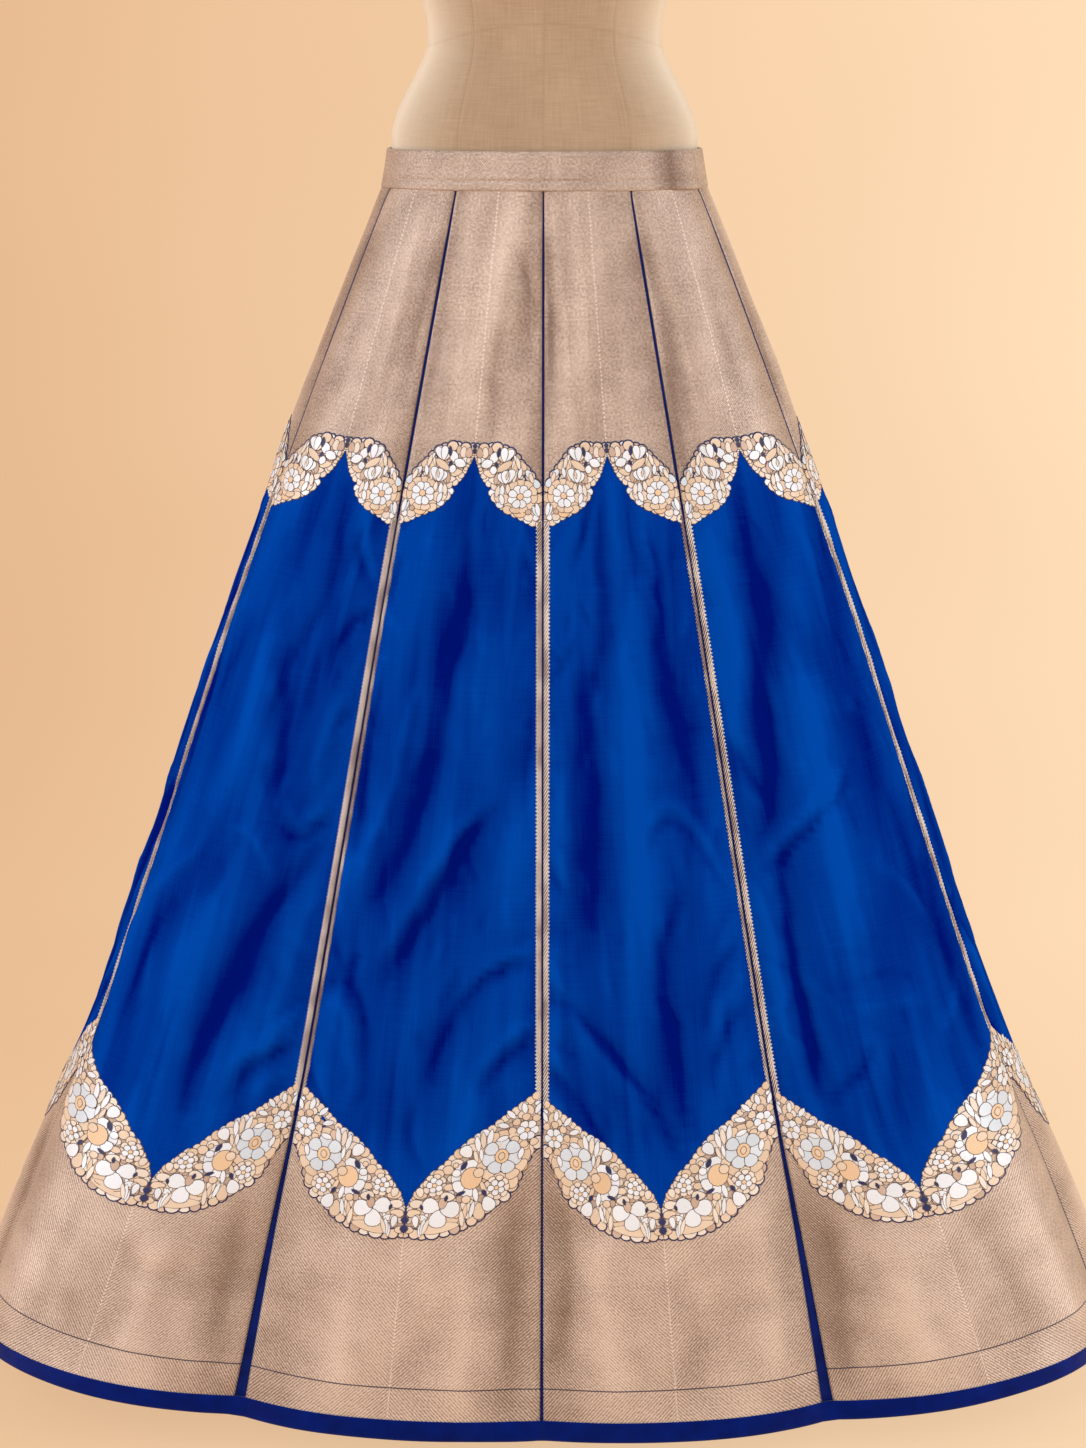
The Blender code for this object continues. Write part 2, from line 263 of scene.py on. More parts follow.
def make_plain_weave():
    """Threads over and under one another, with thick and thin ones, on a place given in metres."""
    group, start, end = new_effect(
        "plain_weave",
        (("Place", "NodeSocketVector", None), ("Thread Width", "NodeSocketFloat", 0.0006),
         ("Slub Length", "NodeSocketFloat", 0.02)),
        (("Height", "NodeSocketFloat"), ("Tone", "NodeSocketFloat")))
    axes = place(group, "ShaderNodeSeparateXYZ", {0: start.outputs["Place"]}).outputs
    turns = reckon(group, "DIVIDE", np.pi, start.outputs["Thread Width"])
    warp = reckon(group, "SINE", reckon(group, "MULTIPLY", axes[0], turns))
    weft = reckon(group, "SINE", reckon(group, "MULTIPLY", axes[1], turns))
    crossing = reckon(group, "MULTIPLY_ADD", reckon(group, "MULTIPLY", warp, weft), 0.5, 0.5)
    slubs = []
    for long_axis in (0, 1):
        scales = [reckon(group, "DIVIDE", 0.45, start.outputs["Thread Width"])] * 2
        scales[long_axis] = reckon(group, "DIVIDE", 1.0, start.outputs["Slub Length"])
        ratios = place(group, "ShaderNodeCombineXYZ", {0: scales[0], 1: scales[1], 2: float(long_axis)})
        streaks = noise(group, stretch(group, start.outputs["Place"], ratios.outputs[0]), detail=3.0)
        slubs.append(spread(group, streaks, 0.3, 0.7))
    tone = reckon(group, "MULTIPLY_ADD", reckon(group, "ADD", slubs[0], slubs[1]), 0.5, 0.0)
    height = reckon(group, "MULTIPLY_ADD", crossing, 0.5, reckon(group, "MULTIPLY", tone, 0.5))
    group.links.new(height, end.inputs["Height"])
    group.links.new(tone, end.inputs["Tone"])
    return group


def cloth_place(tree, map_name):
    """A place on the cloth laid flat, in metres."""
    return place(tree, "ShaderNodeUVMap", uv_map=map_name).outputs[0]


def make_linen():
    """Unbleached linen, darker in its seams, with a painted sheen that makes it paler where it turns away.
    """
    material, tree, shader = new_finish(
        "linen_cover", Sheen_Weight=0.25, Sheen_Roughness=0.5, Specular_IOR_Level=0.25)
    where = cloth_place(tree, "cloth")
    weave = use_effect(tree, plain_weave, {"Place": where, "Thread Width": 0.0007, "Slub Length": 0.030})
    mottle = spread(tree, noise(tree, where, 9.0, 4.0), 0.25, 0.75, 0.0, 0.45)
    tone = reckon(tree, "MULTIPLY_ADD", weave["Tone"], 0.55, mottle)
    plain = tint(tree, tone, LINEN_DARK, LINEN_LIGHT)
    seam = value_named(tree, "seam")
    # Painted sheen: the colour is mixed towards the paler one where the surface turns away from the view.
    facing = place(tree, "ShaderNodeLayerWeight", {"Blend": 0.35}).outputs["Facing"]
    plain = tint(tree, spread(tree, facing, 0.05, 0.52, 0.0, 0.95), plain, LINEN_PAINTED_SHEEN)
    shaded = tint(tree, reckon(tree, "MULTIPLY", seam, 0.12), plain, SEAM_TINT)
    tree.links.new(shaded, shader.inputs["Base Color"])
    tree.links.new(spread(tree, weave["Tone"], 0.0, 1.0, 0.92, 0.78), shader.inputs["Roughness"])
    emboss(tree, shader, weave["Height"], 0.0003)
    return material


def make_torso():
    """The cover, drawn in along its seams, with the linen's weave laid out flat round it."""
    shares = crowd(np.arange(TORSO_STRIPS) / TORSO_STRIPS, FORM_SEAMS, 0.005)
    shares = np.unique(np.round(shares % 1.0, 6))
    low, high = TORSO[0][0], TORSO[-1][0]
    rise = crowd(np.linspace(low, high, TORSO_RINGS), (FORM_WAIST_SEAM,), 2.2 * FORM_WAIST_DIP, 22)
    rings = []
    sunk = []
    for height, (half_width, half_depth, forward) in zip(rise, smooth_rows(TORSO, rise)):
        points, outward, girth = outline(half_width, half_depth, TORSO_ROUNDNESS, shares)
        points = points - (0.0, forward)
        away = np.min([np.abs((shares - seam + 0.5) % 1.0 - 0.5) for seam in FORM_SEAMS], axis=0) * girth
        waist = FORM_WAIST_SEAM + FORM_WAIST_DIP * np.cos(4 * np.pi * shares)
        near = np.minimum(away, np.abs(height - waist))
        seam = np.exp(-(near / FORM_SEAM_HALF_WIDTH) ** 2)
        points = points - outward * (seam * FORM_SEAM_SINK)[:, None]
        rings.append(np.column_stack((points, np.full(len(shares), height))))
        sunk.append(seam)
    grid = np.array(rings)
    height_count, strip_count = grid.shape[:2]
    index = np.arange(height_count * strip_count).reshape(height_count, strip_count)
    faces = cells(np.column_stack((index, index[:, 0]))).tolist()
    spots = np.meshgrid(np.arange(strip_count + 1) / strip_count, np.arange(height_count) / height_count)
    bake = cells(np.stack(spots, axis=-1)).reshape(-1, 2)
    turns = np.append(shares, 1.0 + shares[0]) * WEAVE_GIRTH
    cloth = cells(np.stack(np.meshgrid(turns, rise), axis=-1)).reshape(-1, 2)
    ends = [list(reversed(index[0])), list(index[-1])]
    flat = np.concatenate([grid[0][::-1, :2], grid[-1][:, :2]])
    bake = np.concatenate((bake * (1.0, 0.9), flat * 0.3 + (0.1, 0.95)))
    cloth = np.concatenate((cloth, flat))
    piece = add_mesh("torso_cover", grid.reshape(-1, 3), faces + ends, [make_linen()],
                     maps={"OFBake": bake, "cloth": cloth}, values={"seam": np.concatenate(sunk)})
    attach(piece, "root")
    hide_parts("form_torso")


plain_weave = make_plain_weave()
make_torso()


# ------------------------------------------------------------------------------------------------
# Neck cap and stand. The cap is turned from one piece of stained wood. The pole, the socket under
# the torso and the domed base are brushed steel; the base is heavy, so that the form stands firm.

TURNED_SIDES = 96
# Profiles from their foot up, as (radius, height).
NECK_CAP = (
    (0.0500, 0.0000), (0.0525, 0.0020), (0.0530, 0.0060), (0.0525, 0.0100), (0.0490, 0.0140),
    (0.0300, 0.0180), (0.0120, 0.0220), (0.0100, 0.0270), (0.0150, 0.0330), (0.0158, 0.0380),
    (0.0140, 0.0430), (0.0080, 0.0456), (0.0000, 0.0460),
)
SOCKET = (
    (0.0000, 0.0000), (0.0225, 0.0000), (0.0240, 0.0015), (0.0240, 0.0300), (0.0260, 0.0330),
    (0.0580, 0.0356), (0.0600, 0.0370), (0.0600, 0.0400), (0.0000, 0.0400),
)
BASE = (
    (0.0000, 0.0000), (0.1690, 0.0000), (0.1730, 0.0030), (0.1726, 0.0070), (0.1600, 0.0115),
    (0.1250, 0.0135), (0.0900, 0.0150), (0.0500, 0.0175), (0.0340, 0.0195), (0.0280, 0.0240),
    (0.0270, 0.0330), (0.0255, 0.0337), (0.0000, 0.0337),
)
POLE_RADIUS = 0.016
POLE_SOFTENING = 0.001
WOOD_LIGHT = (0.300, 0.150, 0.065)
WOOD_DARK = (0.110, 0.045, 0.018)
STEEL_LIGHT = (0.560, 0.555, 0.550)
STEEL_DARK = (0.420, 0.420, 0.430)


def make_wood():
    """Stained wood under a thin varnish."""
    material, tree, shader = new_finish("stained_wood", Coat_Weight=0.35, Coat_Roughness=0.2)
    where = place(tree, "ShaderNodeTexCoord").outputs["Object"]
    grain = noise(tree, stretch(tree, where, (30.0, 30.0, 190.0)), detail=5.0)
    tree.links.new(tint(tree, spread(tree, grain, 0.3, 0.7), WOOD_DARK, WOOD_LIGHT),
                   shader.inputs["Base Color"])
    tree.links.new(spread(tree, grain, 0.3, 0.7, 0.5, 0.35), shader.inputs["Roughness"])
    emboss(tree, shader, grain, 0.0003)
    return material


def make_steel():
    """Steel turned on a lathe, with the fine rings of its brushing."""
    material, tree, shader = new_finish("brushed_steel", Metallic=1.0)
    where = place(tree, "ShaderNodeTexCoord").outputs["Object"]
    axes = place(tree, "ShaderNodeSeparateXYZ", {0: where}).outputs
    radius = place(tree, "ShaderNodeVectorMath",
                   {0: place(tree, "ShaderNodeCombineXYZ", {0: axes[0], 1: axes[1]}).outputs[0]},
                   operation="LENGTH").outputs["Value"]
    ring = reckon(tree, "ADD", radius, axes[2])
    rings = place(tree, "ShaderNodeTexNoise", {"W": ring, "Scale": 2600.0}, noise_dimensions="1D")
    worn = reckon(tree, "MULTIPLY", rings.outputs[0], noise(tree, where, 14.0, 4.0))
    tree.links.new(tint(tree, worn, STEEL_LIGHT, STEEL_DARK), shader.inputs["Base Color"])
    tree.links.new(spread(tree, worn, 0.1, 0.45, 0.26, 0.42), shader.inputs["Roughness"])
    emboss(tree, shader, rings.outputs[0], 0.00004)
    return material


def add_turned(name, node, profile, material):
    """A turned piece about the Z axis in place of a CAD node; its profile starts and ends on the axis."""
    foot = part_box(node)[0][2]
    turn = 2 * np.pi * np.arange(TURNED_SIDES) / TURNED_SIDES
    points = [(radius * np.cos(angle), radius * np.sin(angle), foot + height)
              for radius, height in profile[1:-1] for angle in turn]
    rings = len(profile) - 2
    faces = []
    for ring in range(rings - 1):
        for side in range(TURNED_SIDES):
            after = (side + 1) % TURNED_SIDES
            low, high = ring * TURNED_SIDES, (ring + 1) * TURNED_SIDES
            faces.append((low + side, low + after, high + after, high + side))
    for (_, height), start, order in ((profile[0], 0, -1), (profile[-1], (rings - 1) * TURNED_SIDES, 1)):
        points.append((0.0, 0.0, foot + height))
        for side in range(TURNED_SIDES):
            edge = (start + side, start + (side + 1) % TURNED_SIDES)[::order]
            faces.append((*edge, len(points) - 1))
    piece = add_mesh(name, points, faces, [material])
    piece.data.set_sharp_from_angle(angle=np.radians(50.0))
    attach(piece, "root")
    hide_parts(node)


def make_stand():
    """The cap, the pole, its socket and the base."""
    wood, steel = make_wood(), make_steel()
    foot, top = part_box("stand_pole")[0][2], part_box("stand_pole")[1][2]
    pole = (
        (0.0, 0.0), (POLE_RADIUS - POLE_SOFTENING, 0.0), (POLE_RADIUS, POLE_SOFTENING),
        (POLE_RADIUS, top - foot - POLE_SOFTENING), (POLE_RADIUS - POLE_SOFTENING, top - foot),
        (0.0, top - foot),
    )
    add_turned("neck_cap_turned", "neck_cap", NECK_CAP, wood)
    add_turned("stand_pole_steel", "stand_pole", pole, steel)
    add_turned("pole_socket_steel", "pole_socket", SOCKET, steel)
    add_turned("stand_base_steel", "stand_base", BASE, steel)


make_stand()


# ------------------------------------------------------------------------------------------------
# Kalis. Ten tapered lengths of handloom silk, each woven as one piece: a rose-gold zari yoke, a
# royal blue ground, and a zari border. They flare from the waist, and sink where they are seamed.

PANEL_COUNT = 10
SKIRT_LENGTH = 1.110
WAIST_SEAM_HEIGHT = 1.119
HEM_LEVELLING = 0.42
# The skirt down its fall, as (fall, half width, half depth, roundness): 2 is an ellipse, more is boxier.
SECTIONS = (
    (0.00, 0.1455, 0.0950, 2.20),
    (0.10, 0.1895, 0.1102, 2.26),
    (0.30, 0.2727, 0.1407, 2.39),
    (0.60, 0.3860, 0.1864, 2.58),
    (0.72, 0.4320, 0.2047, 2.66),
    (0.85, 0.4920, 0.2245, 2.74),
    (1.00, 0.5560, 0.2474, 2.84),
)
SEAM_COLUMNS = ("valley", "drift", "at_waist", "at_scallop", "at_border", "at_hem")
PIPING_FALLS = (0.00, 0.26, 0.74, 1.00)
# The share of the piping that is left showing at these falls: the woven bands close over it.
PIPING_SHOWN = ((0.0, 0.05, 0.22, 0.27, 0.715, 0.77, 1.0), (0.3, 0.6, 0.75, 0.3, 0.3, 0.45, 0.6))
SEAMS = (
    (0.008, 0.0000, 0.0030, 0.0024, 0.0028, 0.0046),
    (0.023, -0.0040, 0.0040, 0.0026, 0.0050, 0.0180),
    (0.017, 0.0250, 0.0052, 0.0026, 0.0034, 0.0100),
    (0.021, 0.0000, 0.0044, 0.0026, 0.0040, 0.0130),
    (0.024, 0.0000, 0.0040, 0.0026, 0.0048, 0.0170),
    (0.014, 0.0000, 0.0030, 0.0024, 0.0030, 0.0060),
    (0.023, 0.0000, 0.0040, 0.0026, 0.0046, 0.0160),
    (0.020, 0.0000, 0.0044, 0.0026, 0.0040, 0.0120),
    (0.018, -0.0340, 0.0052, 0.0026, 0.0034, 0.0100),
    (0.023, -0.0020, 0.0040, 0.0026, 0.0050, 0.0180),
)
VALLEY_AT_WAIST = 0.001
VALLEY_SHARPNESS = 4.0
VALLEY_GROWTH = 0.8
DRIFT_GROWTH = 0.4
LENGTH_STEPS = 40
CLOTH = 0.0014
TUCK = 0.0030

# A kali's rows of points, as falls, closer together at the scallops; and its columns, from one seam
# to the other as -1 to 1, with a narrow one at each edge where the cloth turns under.
KALI_FALLS = np.unique(np.round(np.concatenate((
    [-TUCK / SKIRT_LENGTH, 0.0], np.linspace(0.0, 0.19, 34), np.linspace(0.19, 0.27, 22),
    np.linspace(0.27, 0.993, 122))), 5))
KALI_COLUMNS = np.concatenate(([-1.0, -0.985], np.linspace(-0.95, 0.95, 59), [0.985, 1.0]))
EDGE_TURN = 0.0007


def section(fall):
    """Half width, half depth and roundness of the skirt at a fall, 0 at the waist seam and 1 at the hem."""
    return smooth_rows(SECTIONS, np.clip([fall], 0.0, 1.0))[0]


def drop_table():
    """How far below the waist seam the cloth lies at each rung of its fall, for shares of the way round."""
    shares = np.linspace(0.0, 1.0, 721)
    rungs = np.array([outline(*section(rung), shares)[0]
                      for rung in np.linspace(0.0, 1.0, LENGTH_STEPS + 1)])
    run = np.linalg.norm(np.diff(rungs, axis=0), axis=-1)
    drop = np.sqrt((SKIRT_LENGTH / LENGTH_STEPS) ** 2 - run ** 2)
    drop = drop[:, :1] + (drop - drop[:, :1]) * (1 - HEM_LEVELLING)
    return shares, np.vstack((np.zeros(len(shares)), np.cumsum(drop, axis=0)))


DROP_SHARES, DROPS = drop_table()


def height(fall, shares):
    """How high the cloth hangs at a fall, at each share of the way round."""
    rung = np.clip(fall, 0.0, 1.0) * LENGTH_STEPS
    above = min(int(rung), LENGTH_STEPS - 1)
    row = DROPS[above] + (DROPS[above + 1] - DROPS[above]) * (rung - above)
    tucked = max(-fall, 0.0) * SKIRT_LENGTH
    return WAIST_SEAM_HEIGHT + tucked - np.interp(np.asarray(shares) % 1.0, DROP_SHARES, row)


def seam_column(name):
    """One column of the table of seams."""
    return np.array(SEAMS)[:, SEAM_COLUMNS.index(name)]


def seam_shares(fall):
    """Where the seams lie at a fall, from the front centre seam round to itself again."""
    drift = seam_column("drift") * max(fall, 0.0) ** DRIFT_GROWTH
    return np.arange(PANEL_COUNT + 1) / PANEL_COUNT + np.append(drift, drift[0])


def valley(fall, shares):
    """How far the cloth sinks at each share: most at a seam, nothing in the middle of a kali."""
    depths = seam_column("valley") * max(fall, 0.0) ** VALLEY_GROWTH + VALLEY_AT_WAIST
    spot = np.interp(np.asarray(shares) % 1.0, seam_shares(fall), np.arange(PANEL_COUNT + 1))
    seam = np.floor(spot).astype(int) % PANEL_COUNT
    across = spot - np.floor(spot)
    near = depths[seam] * (1 - across) ** VALLEY_SHARPNESS
    far = depths[(seam + 1) % PANEL_COUNT] * across ** VALLEY_SHARPNESS
    return near + far


def cloth_row(fall, shares):
    """Outer points of the cloth at one fall."""
    points, outward, _ = outline(*section(fall), shares)
    return np.column_stack((points - outward * valley(fall, shares)[:, None], height(fall, shares)))


def piping_half_share(seam, fall):
    """Half of the piping that shows at a seam, as a share of the way round at that fall."""
    widths = SEAMS[seam % PANEL_COUNT][SEAM_COLUMNS.index("at_waist"):]
    shown = np.interp(fall, PIPING_FALLS, widths) * np.interp(fall, *PIPING_SHOWN)
    return 0.5 * shown / outline(*section(fall), [0.0])[2]


def kali_shares(panel, fall, columns):
    """Shares of a kali's columns, from one piping's edge, at -1, to the next, at 1."""
    seams = seam_shares(fall)
    start = seams[panel] + piping_half_share(panel, fall)
    end = seams[panel + 1] - piping_half_share(panel + 1, fall)
    return start + (np.asarray(columns) + 1) / 2 * (end - start)


def grid_normals(grid):
    """Outward normals of a grid whose rows run down and whose columns run towards +X."""
    normals = np.cross(np.gradient(grid, axis=0), np.gradient(grid, axis=1))
    return normals / np.linalg.norm(normals, axis=-1, keepdims=True)


def shell(outer, thickness):
    """Points, faces and a bake map of a thin wall: outer face, inner face and four rims."""
    rows, columns = outer.shape[:2]
    inner = outer - grid_normals(outer) * thickness
    index = np.arange(rows * columns).reshape(rows, columns)
    u, v = np.meshgrid(np.arange(columns) / (columns - 1), 1 - np.arange(rows) / (rows - 1))
    spot = np.stack((0.005 + 0.48 * u, 0.04 + 0.955 * v), axis=-1)
    quads, spots = cells(index, along_rows=False), cells(spot, along_rows=False)
    faces = [quads, quads[:, ::-1] + rows * columns]
    maps = [spots, spots[:, ::-1] + (0.505, 0.0)]
    for level, rim in enumerate((index[0], index[-1, ::-1], index[::-1, 0], index[:, -1])):
        first, second = rim[:-1], rim[1:]
        faces.append(np.stack((first, second, second + rows * columns, first + rows * columns), axis=-1))
        along = np.linspace(0.005, 0.995, len(rim))
        low = 0.004 + 0.008 * level
        strip = [(along[:-1], low), (along[1:], low), (along[1:], low + 0.005), (along[:-1], low + 0.005)]
        maps.append(np.stack([np.stack(np.broadcast_arrays(*corner), axis=-1) for corner in strip], axis=1))
    points = np.concatenate((outer.reshape(-1, 3), inner.reshape(-1, 3)))
    return points, np.concatenate(faces), np.concatenate(maps).reshape(-1, 2)


# Creases of the four front kalis: each runs from a start through a bend to an end, given across the
# kali, from -1000 at its left seam to 1000 at its right, and down its fall in thousandths. Its width
# and depth follow, in tenths of a millimetre. A trough has a negative depth.
CREASES = {
    0: (
        (-100, 245, -200, 330, -420, 400, 110, -22),
        (-360, 370, -420, 480, -500, 590, 150, -46),
        (120, 300, 100, 480, 20, 660, 240, 36),
        (550, 270, 520, 380, 840, 520, 140, -40),
        (-720, 420, -800, 500, -680, 560, 60, 20),
        (150, 520, 450, 500, 880, 565, 55, -20),
        (100, 505, 450, 485, 860, 545, 60, 18),
        (400, 560, 160, 630, 360, 760, 120, -40),
        (950, 610, 700, 620, 520, 660, 70, -26),
        (920, 655, 660, 675, 500, 715, 85, -32),
        (800, 645, 620, 660, 660, 740, 80, 22),
        (-960, 640, -500, 665, 180, 765, 80, -40),
        (-960, 600, -750, 640, -100, 730, 80, 30),
        (-900, 700, -700, 720, -340, 785, 75, -34),
        (-960, 665, -800, 700, -500, 765, 65, 24),
        (-620, 350, -750, 370, -900, 385, 45, -18),
        (-940, 520, -850, 540, -660, 556, 50, -20),
        (200, 230, 260, 270, 200, 320, 40, -12),
        (-300, 235, -420, 270, -600, 300, 45, -14),
        (0, 225, 50, 260, 20, 300, 45, 12),
        (-200, 230, -300, 280, -340, 340, 50, 14),
        (400, 235, 440, 290, 360, 350, 60, 16),
        (-840, 15, -700, 60, -600, 180, 40, 12),
        (-930, 30, -900, 80, -880, 140, 60, -18),
        (900, 40, 860, 90, 900, 170, 80, -16),
        (-840, 800, -800, 860, -860, 940, 120, -40),
        (-550, 830, -500, 900, -520, 970, 160, 26),
        (720, 800, 740, 880, 700, 970, 150, 26),
        (100, 860, 140, 910, 100, 975, 180, -14),
    ),
    1: (
        (-200, 230, -360, 340, -500, 430, 150, -40),
        (-500, 400, -580, 470, -860, 545, 120, -46),
        (-720, 270, -740, 350, -800, 450, 120, 34),
        (-580, 525, -680, 600, -680, 665, 85, -50),
        (-660, 640, -660, 690, -740, 735, 80, -36),
        (-840, 540, -840, 620, -840, 700, 60, 26),
        (-800, 548, -300, 515, 140, 478, 50, -30),
        (-800, 532, -300, 500, 100, 468, 55, 26),
        (50, 340, 100, 365, 160, 395, 100, -16),
        (-50, 390, -100, 470, -250, 620, 230, 34),
        (500, 420, 620, 560, 700, 730, 260, -52),
        (-500, 650, -100, 640, 300, 655, 40, -12),
        (-450, 670, -50, 664, 300, 672, 45, 13),
        (-250, 695, -400, 715, -640, 738, 55, -26),
        (-120, 700, -160, 730, -140, 770, 50, -20),
        (100, 700, 80, 740, 20, 790, 80, 18),
        (300, 690, 500, 685, 800, 655, 70, 20),
        (-900, 440, -700, 480, -680, 510, 50, -20),
        (200, 560, 400, 575, 600, 610, 60, 14),
        (-880, 40, -800, 90, -840, 160, 80, -20),
        (-660, 20, -560, 70, -500, 170, 50, 12),
        (200, 60, 240, 110, 300, 170, 120, -14),
        (-820, 830, -840, 890, -860, 975, 120, -36),
        (-500, 840, -460, 900, -500, 975, 180, 28),
        (100, 850, 160, 910, 200, 975, 160, -22),
        (500, 830, 520, 900, 560, 975, 180, 24),
    ),
    8: (
        (320, 235, 420, 310, 220, 380, 100, -30),
        (220, 370, 260, 420, 440, 500, 130, -40),
        (-100, 360, -40, 430, -140, 520, 180, 32),
        (700, 270, 660, 290, 900, 320, 45, -20),
        (640, 240, 740, 280, 900, 308, 45, 18),
        (940, 350, 760, 345, 620, 390, 60, -22),
        (-420, 350, -500, 390, -660, 440, 140, -26),
        (-800, 380, -840, 450, -860, 540, 120, -30),
        (860, 520, 560, 590, 440, 650, 130, -48),
        (440, 640, 300, 700, 320, 760, 130, -42),
        (920, 690, 740, 705, 560, 740, 75, -34),
        (900, 660, 700, 690, 540, 715, 65, 22),
        (50, 580, 20, 640, -20, 740, 180, 34),
        (-140, 530, -300, 560, -620, 595, 50, 20),
        (-300, 585, -400, 630, -440, 700, 140, -30),
        (-700, 600, -740, 660, -660, 740, 120, 20),
        (100, 520, 280, 528, 440, 548, 45, 18),
        (480, 515, 640, 520, 860, 505, 55, -24),
        (500, 500, 660, 505, 860, 490, 50, 18),
        (840, 400, 700, 430, 720, 480, 60, 22),
        (880, 50, 860, 100, 840, 170, 90, -22),
        (360, 20, 400, 80, 460, 170, 45, 12),
        (-300, 60, -340, 110, -300, 170, 120, -12),
        (820, 830, 840, 890, 860, 975, 130, -36),
        (460, 850, 400, 900, 420, 970, 150, 24),
        (600, 880, 400, 890, 200, 870, 70, -14),
        (-200, 840, -180, 900, -220, 975, 180, -18),
    ),
    9: (
        (20, 205, 40, 260, 60, 330, 90, -34),
        (60, 310, -20, 380, -220, 480, 150, -46),
        (-200, 440, -280, 510, -560, 570, 110, -34),
        (-400, 390, -560, 460, -780, 560, 60, 28),
        (-820, 390, -880, 450, -840, 530, 80, -30),
        (500, 340, 460, 430, 500, 490, 200, 32),
        (460, 495, 100, 540, -360, 625, 80, -40),
        (400, 485, 20, 525, -460, 605, 70, 28),
        (960, 615, 400, 630, 50, 710, 85, -42),
        (960, 598, 500, 615, 200, 660, 70, 26),
        (960, 672, 750, 685, 520, 715, 75, -34),
        (960, 655, 780, 665, 500, 692, 60, 24),
        (970, 585, 840, 592, 660, 620, 55, -22),
        (-920, 635, -560, 650, -480, 728, 70, -36),
        (-900, 655, -660, 665, -600, 735, 65, 26),
        (-940, 600, -800, 620, -660, 610, 60, -24),
        (-960, 700, -840, 730, -500, 765, 60, -28),
        (-20, 725, -20, 750, 100, 778, 60, -22),
        (400, 700, 440, 735, 300, 765, 80, 18),
        (940, 395, 860, 450, 900, 520, 60, -22),
        (800, 285, 860, 300, 900, 330, 45, -18),
        (-800, 290, -860, 310, -900, 330, 50, -20),
        (620, 255, 800, 270, 860, 300, 60, 16),
        (500, 45, 740, 70, 940, 110, 50, -20),
        (300, 100, 260, 140, 320, 185, 120, -22),
        (880, 70, 900, 110, 860, 170, 80, -20),
        (-840, 60, -800, 110, -840, 170, 80, -16),
        (-400, 40, -360, 110, -300, 180, 160, 14),
        (840, 800, 820, 880, 840, 975, 140, -44),
        (500, 840, 460, 900, 500, 975, 160, 30),
        (-400, 840, -360, 900, -400, 975, 200, 22),
    ),
}
CREASE_UNITS = (1000, 1000, 1000, 1000, 1000, 1000, 10000, 10000)
# The other kalis hang alike: the kali that each one's creases resemble, whether they are mirrored,
# and how far down they are shifted.
CREASES_LIKE = {
    2: (9, False, 0.015), 3: (0, True, -0.010), 4: (8, True, 0.010),
    5: (1, False, -0.012), 6: (9, True, 0.006), 7: (8, False, -0.014),
}
CREASE_STEPS = 30
CREASE_CLEARANCE = 0.10
RIPPLE = 0.0007
RIPPLE_WAVES = 14
PUCKERS = 15
CRUMPLES = 56
# A crease's section is exp(-(distance / width) ** CREASE_CREST), and it fades towards both its ends.
CREASE_CREST = 1.45
CREASE_FADE = 0.55
CREASE_END = 0.25
CREASE_REACH = 0.06
# How deep a crease must be for its painted shading to be full, and the most painted shading that one crease
# gives.
FULL_SHADING_DEPTH = 0.003
MOST_SHADING = 1.3
# Waves that keep the creases from running true, as (distance moved, turns a metre down, turns across).
WARP_ACROSS = ((0.0018, 47, 23), (0.0008, 137, -71))
WARP_DOWN = ((0.0020, 19, 83), (0.0010, -47, 171))
# How much lighter the zari border is made, how strongly slopes facing the left are painted lighter and those
# facing the right darker, and how much painted shade darkens the zari towards the seams.
BORDER_LIGHT = 0.28
SLOPE_SHADE = 1.6
SEAM_SHADE = 0.9


def creases_of(panel):
    """A kali's own creases, or those of the kali it hangs like, a little changed."""
    if panel in CREASES:
        return np.array(CREASES[panel]) / CREASE_UNITS
    source, mirrored, shift = CREASES_LIKE[panel]
    table = creases_of(source)
    if mirrored:
        table[:, 0:6:2] *= -1
    table[:, 1:6:2] += shift * np.sin(9.0 * table[:, :1] + panel)
    table[:, 7] *= 1.0 + 0.25 * np.sin(5.0 * np.arange(len(table)) + panel)
    return table


def seam_puckers(panel):
    """Short slanting puckers where the silk is drawn up along both seams, uneven in place and size."""
    dice = np.random.default_rng(40 + panel)
    rows = []
    for side in (-1, 1):
        for fall in np.linspace(0.275, 0.735, PUCKERS) + dice.uniform(-0.014, 0.014, PUCKERS):
            reach = dice.uniform(0.12, 0.34)
            slope = dice.uniform(-0.012, 0.034)
            depth = dice.choice((-1, 1)) * dice.uniform(0.0004, 0.0014)
            rows.append((side * 0.97, fall, side * (0.97 - reach / 2), fall + slope / 3,
                         side * (0.97 - reach), fall + slope, dice.uniform(0.003, 0.006), depth))
    return np.array(rows)


def crumples(panel):
    """Short fine wrinkles scattered over the silk between the scallops and the crescents."""
    dice = np.random.default_rng(300 + panel)
    rows = []
    for _ in range(CRUMPLES):
        across, fall = dice.uniform(-0.92, 0.92), dice.uniform(0.235, 0.755)
        lean = dice.choice((-1, 1)) * dice.uniform(0.5, 5.0)
        reach = dice.uniform(0.012, 0.034)
        bend = dice.normal(0.0, 0.03)
        deep = dice.choice((-1, 1)) * dice.uniform(0.0004, 0.0012)
        rows.append((across, fall, across + 0.5 * lean * reach + bend, fall + 0.5 * reach,
                     across + lean * reach, fall + reach, dice.uniform(0.003, 0.006), deep))
    return np.array(rows)


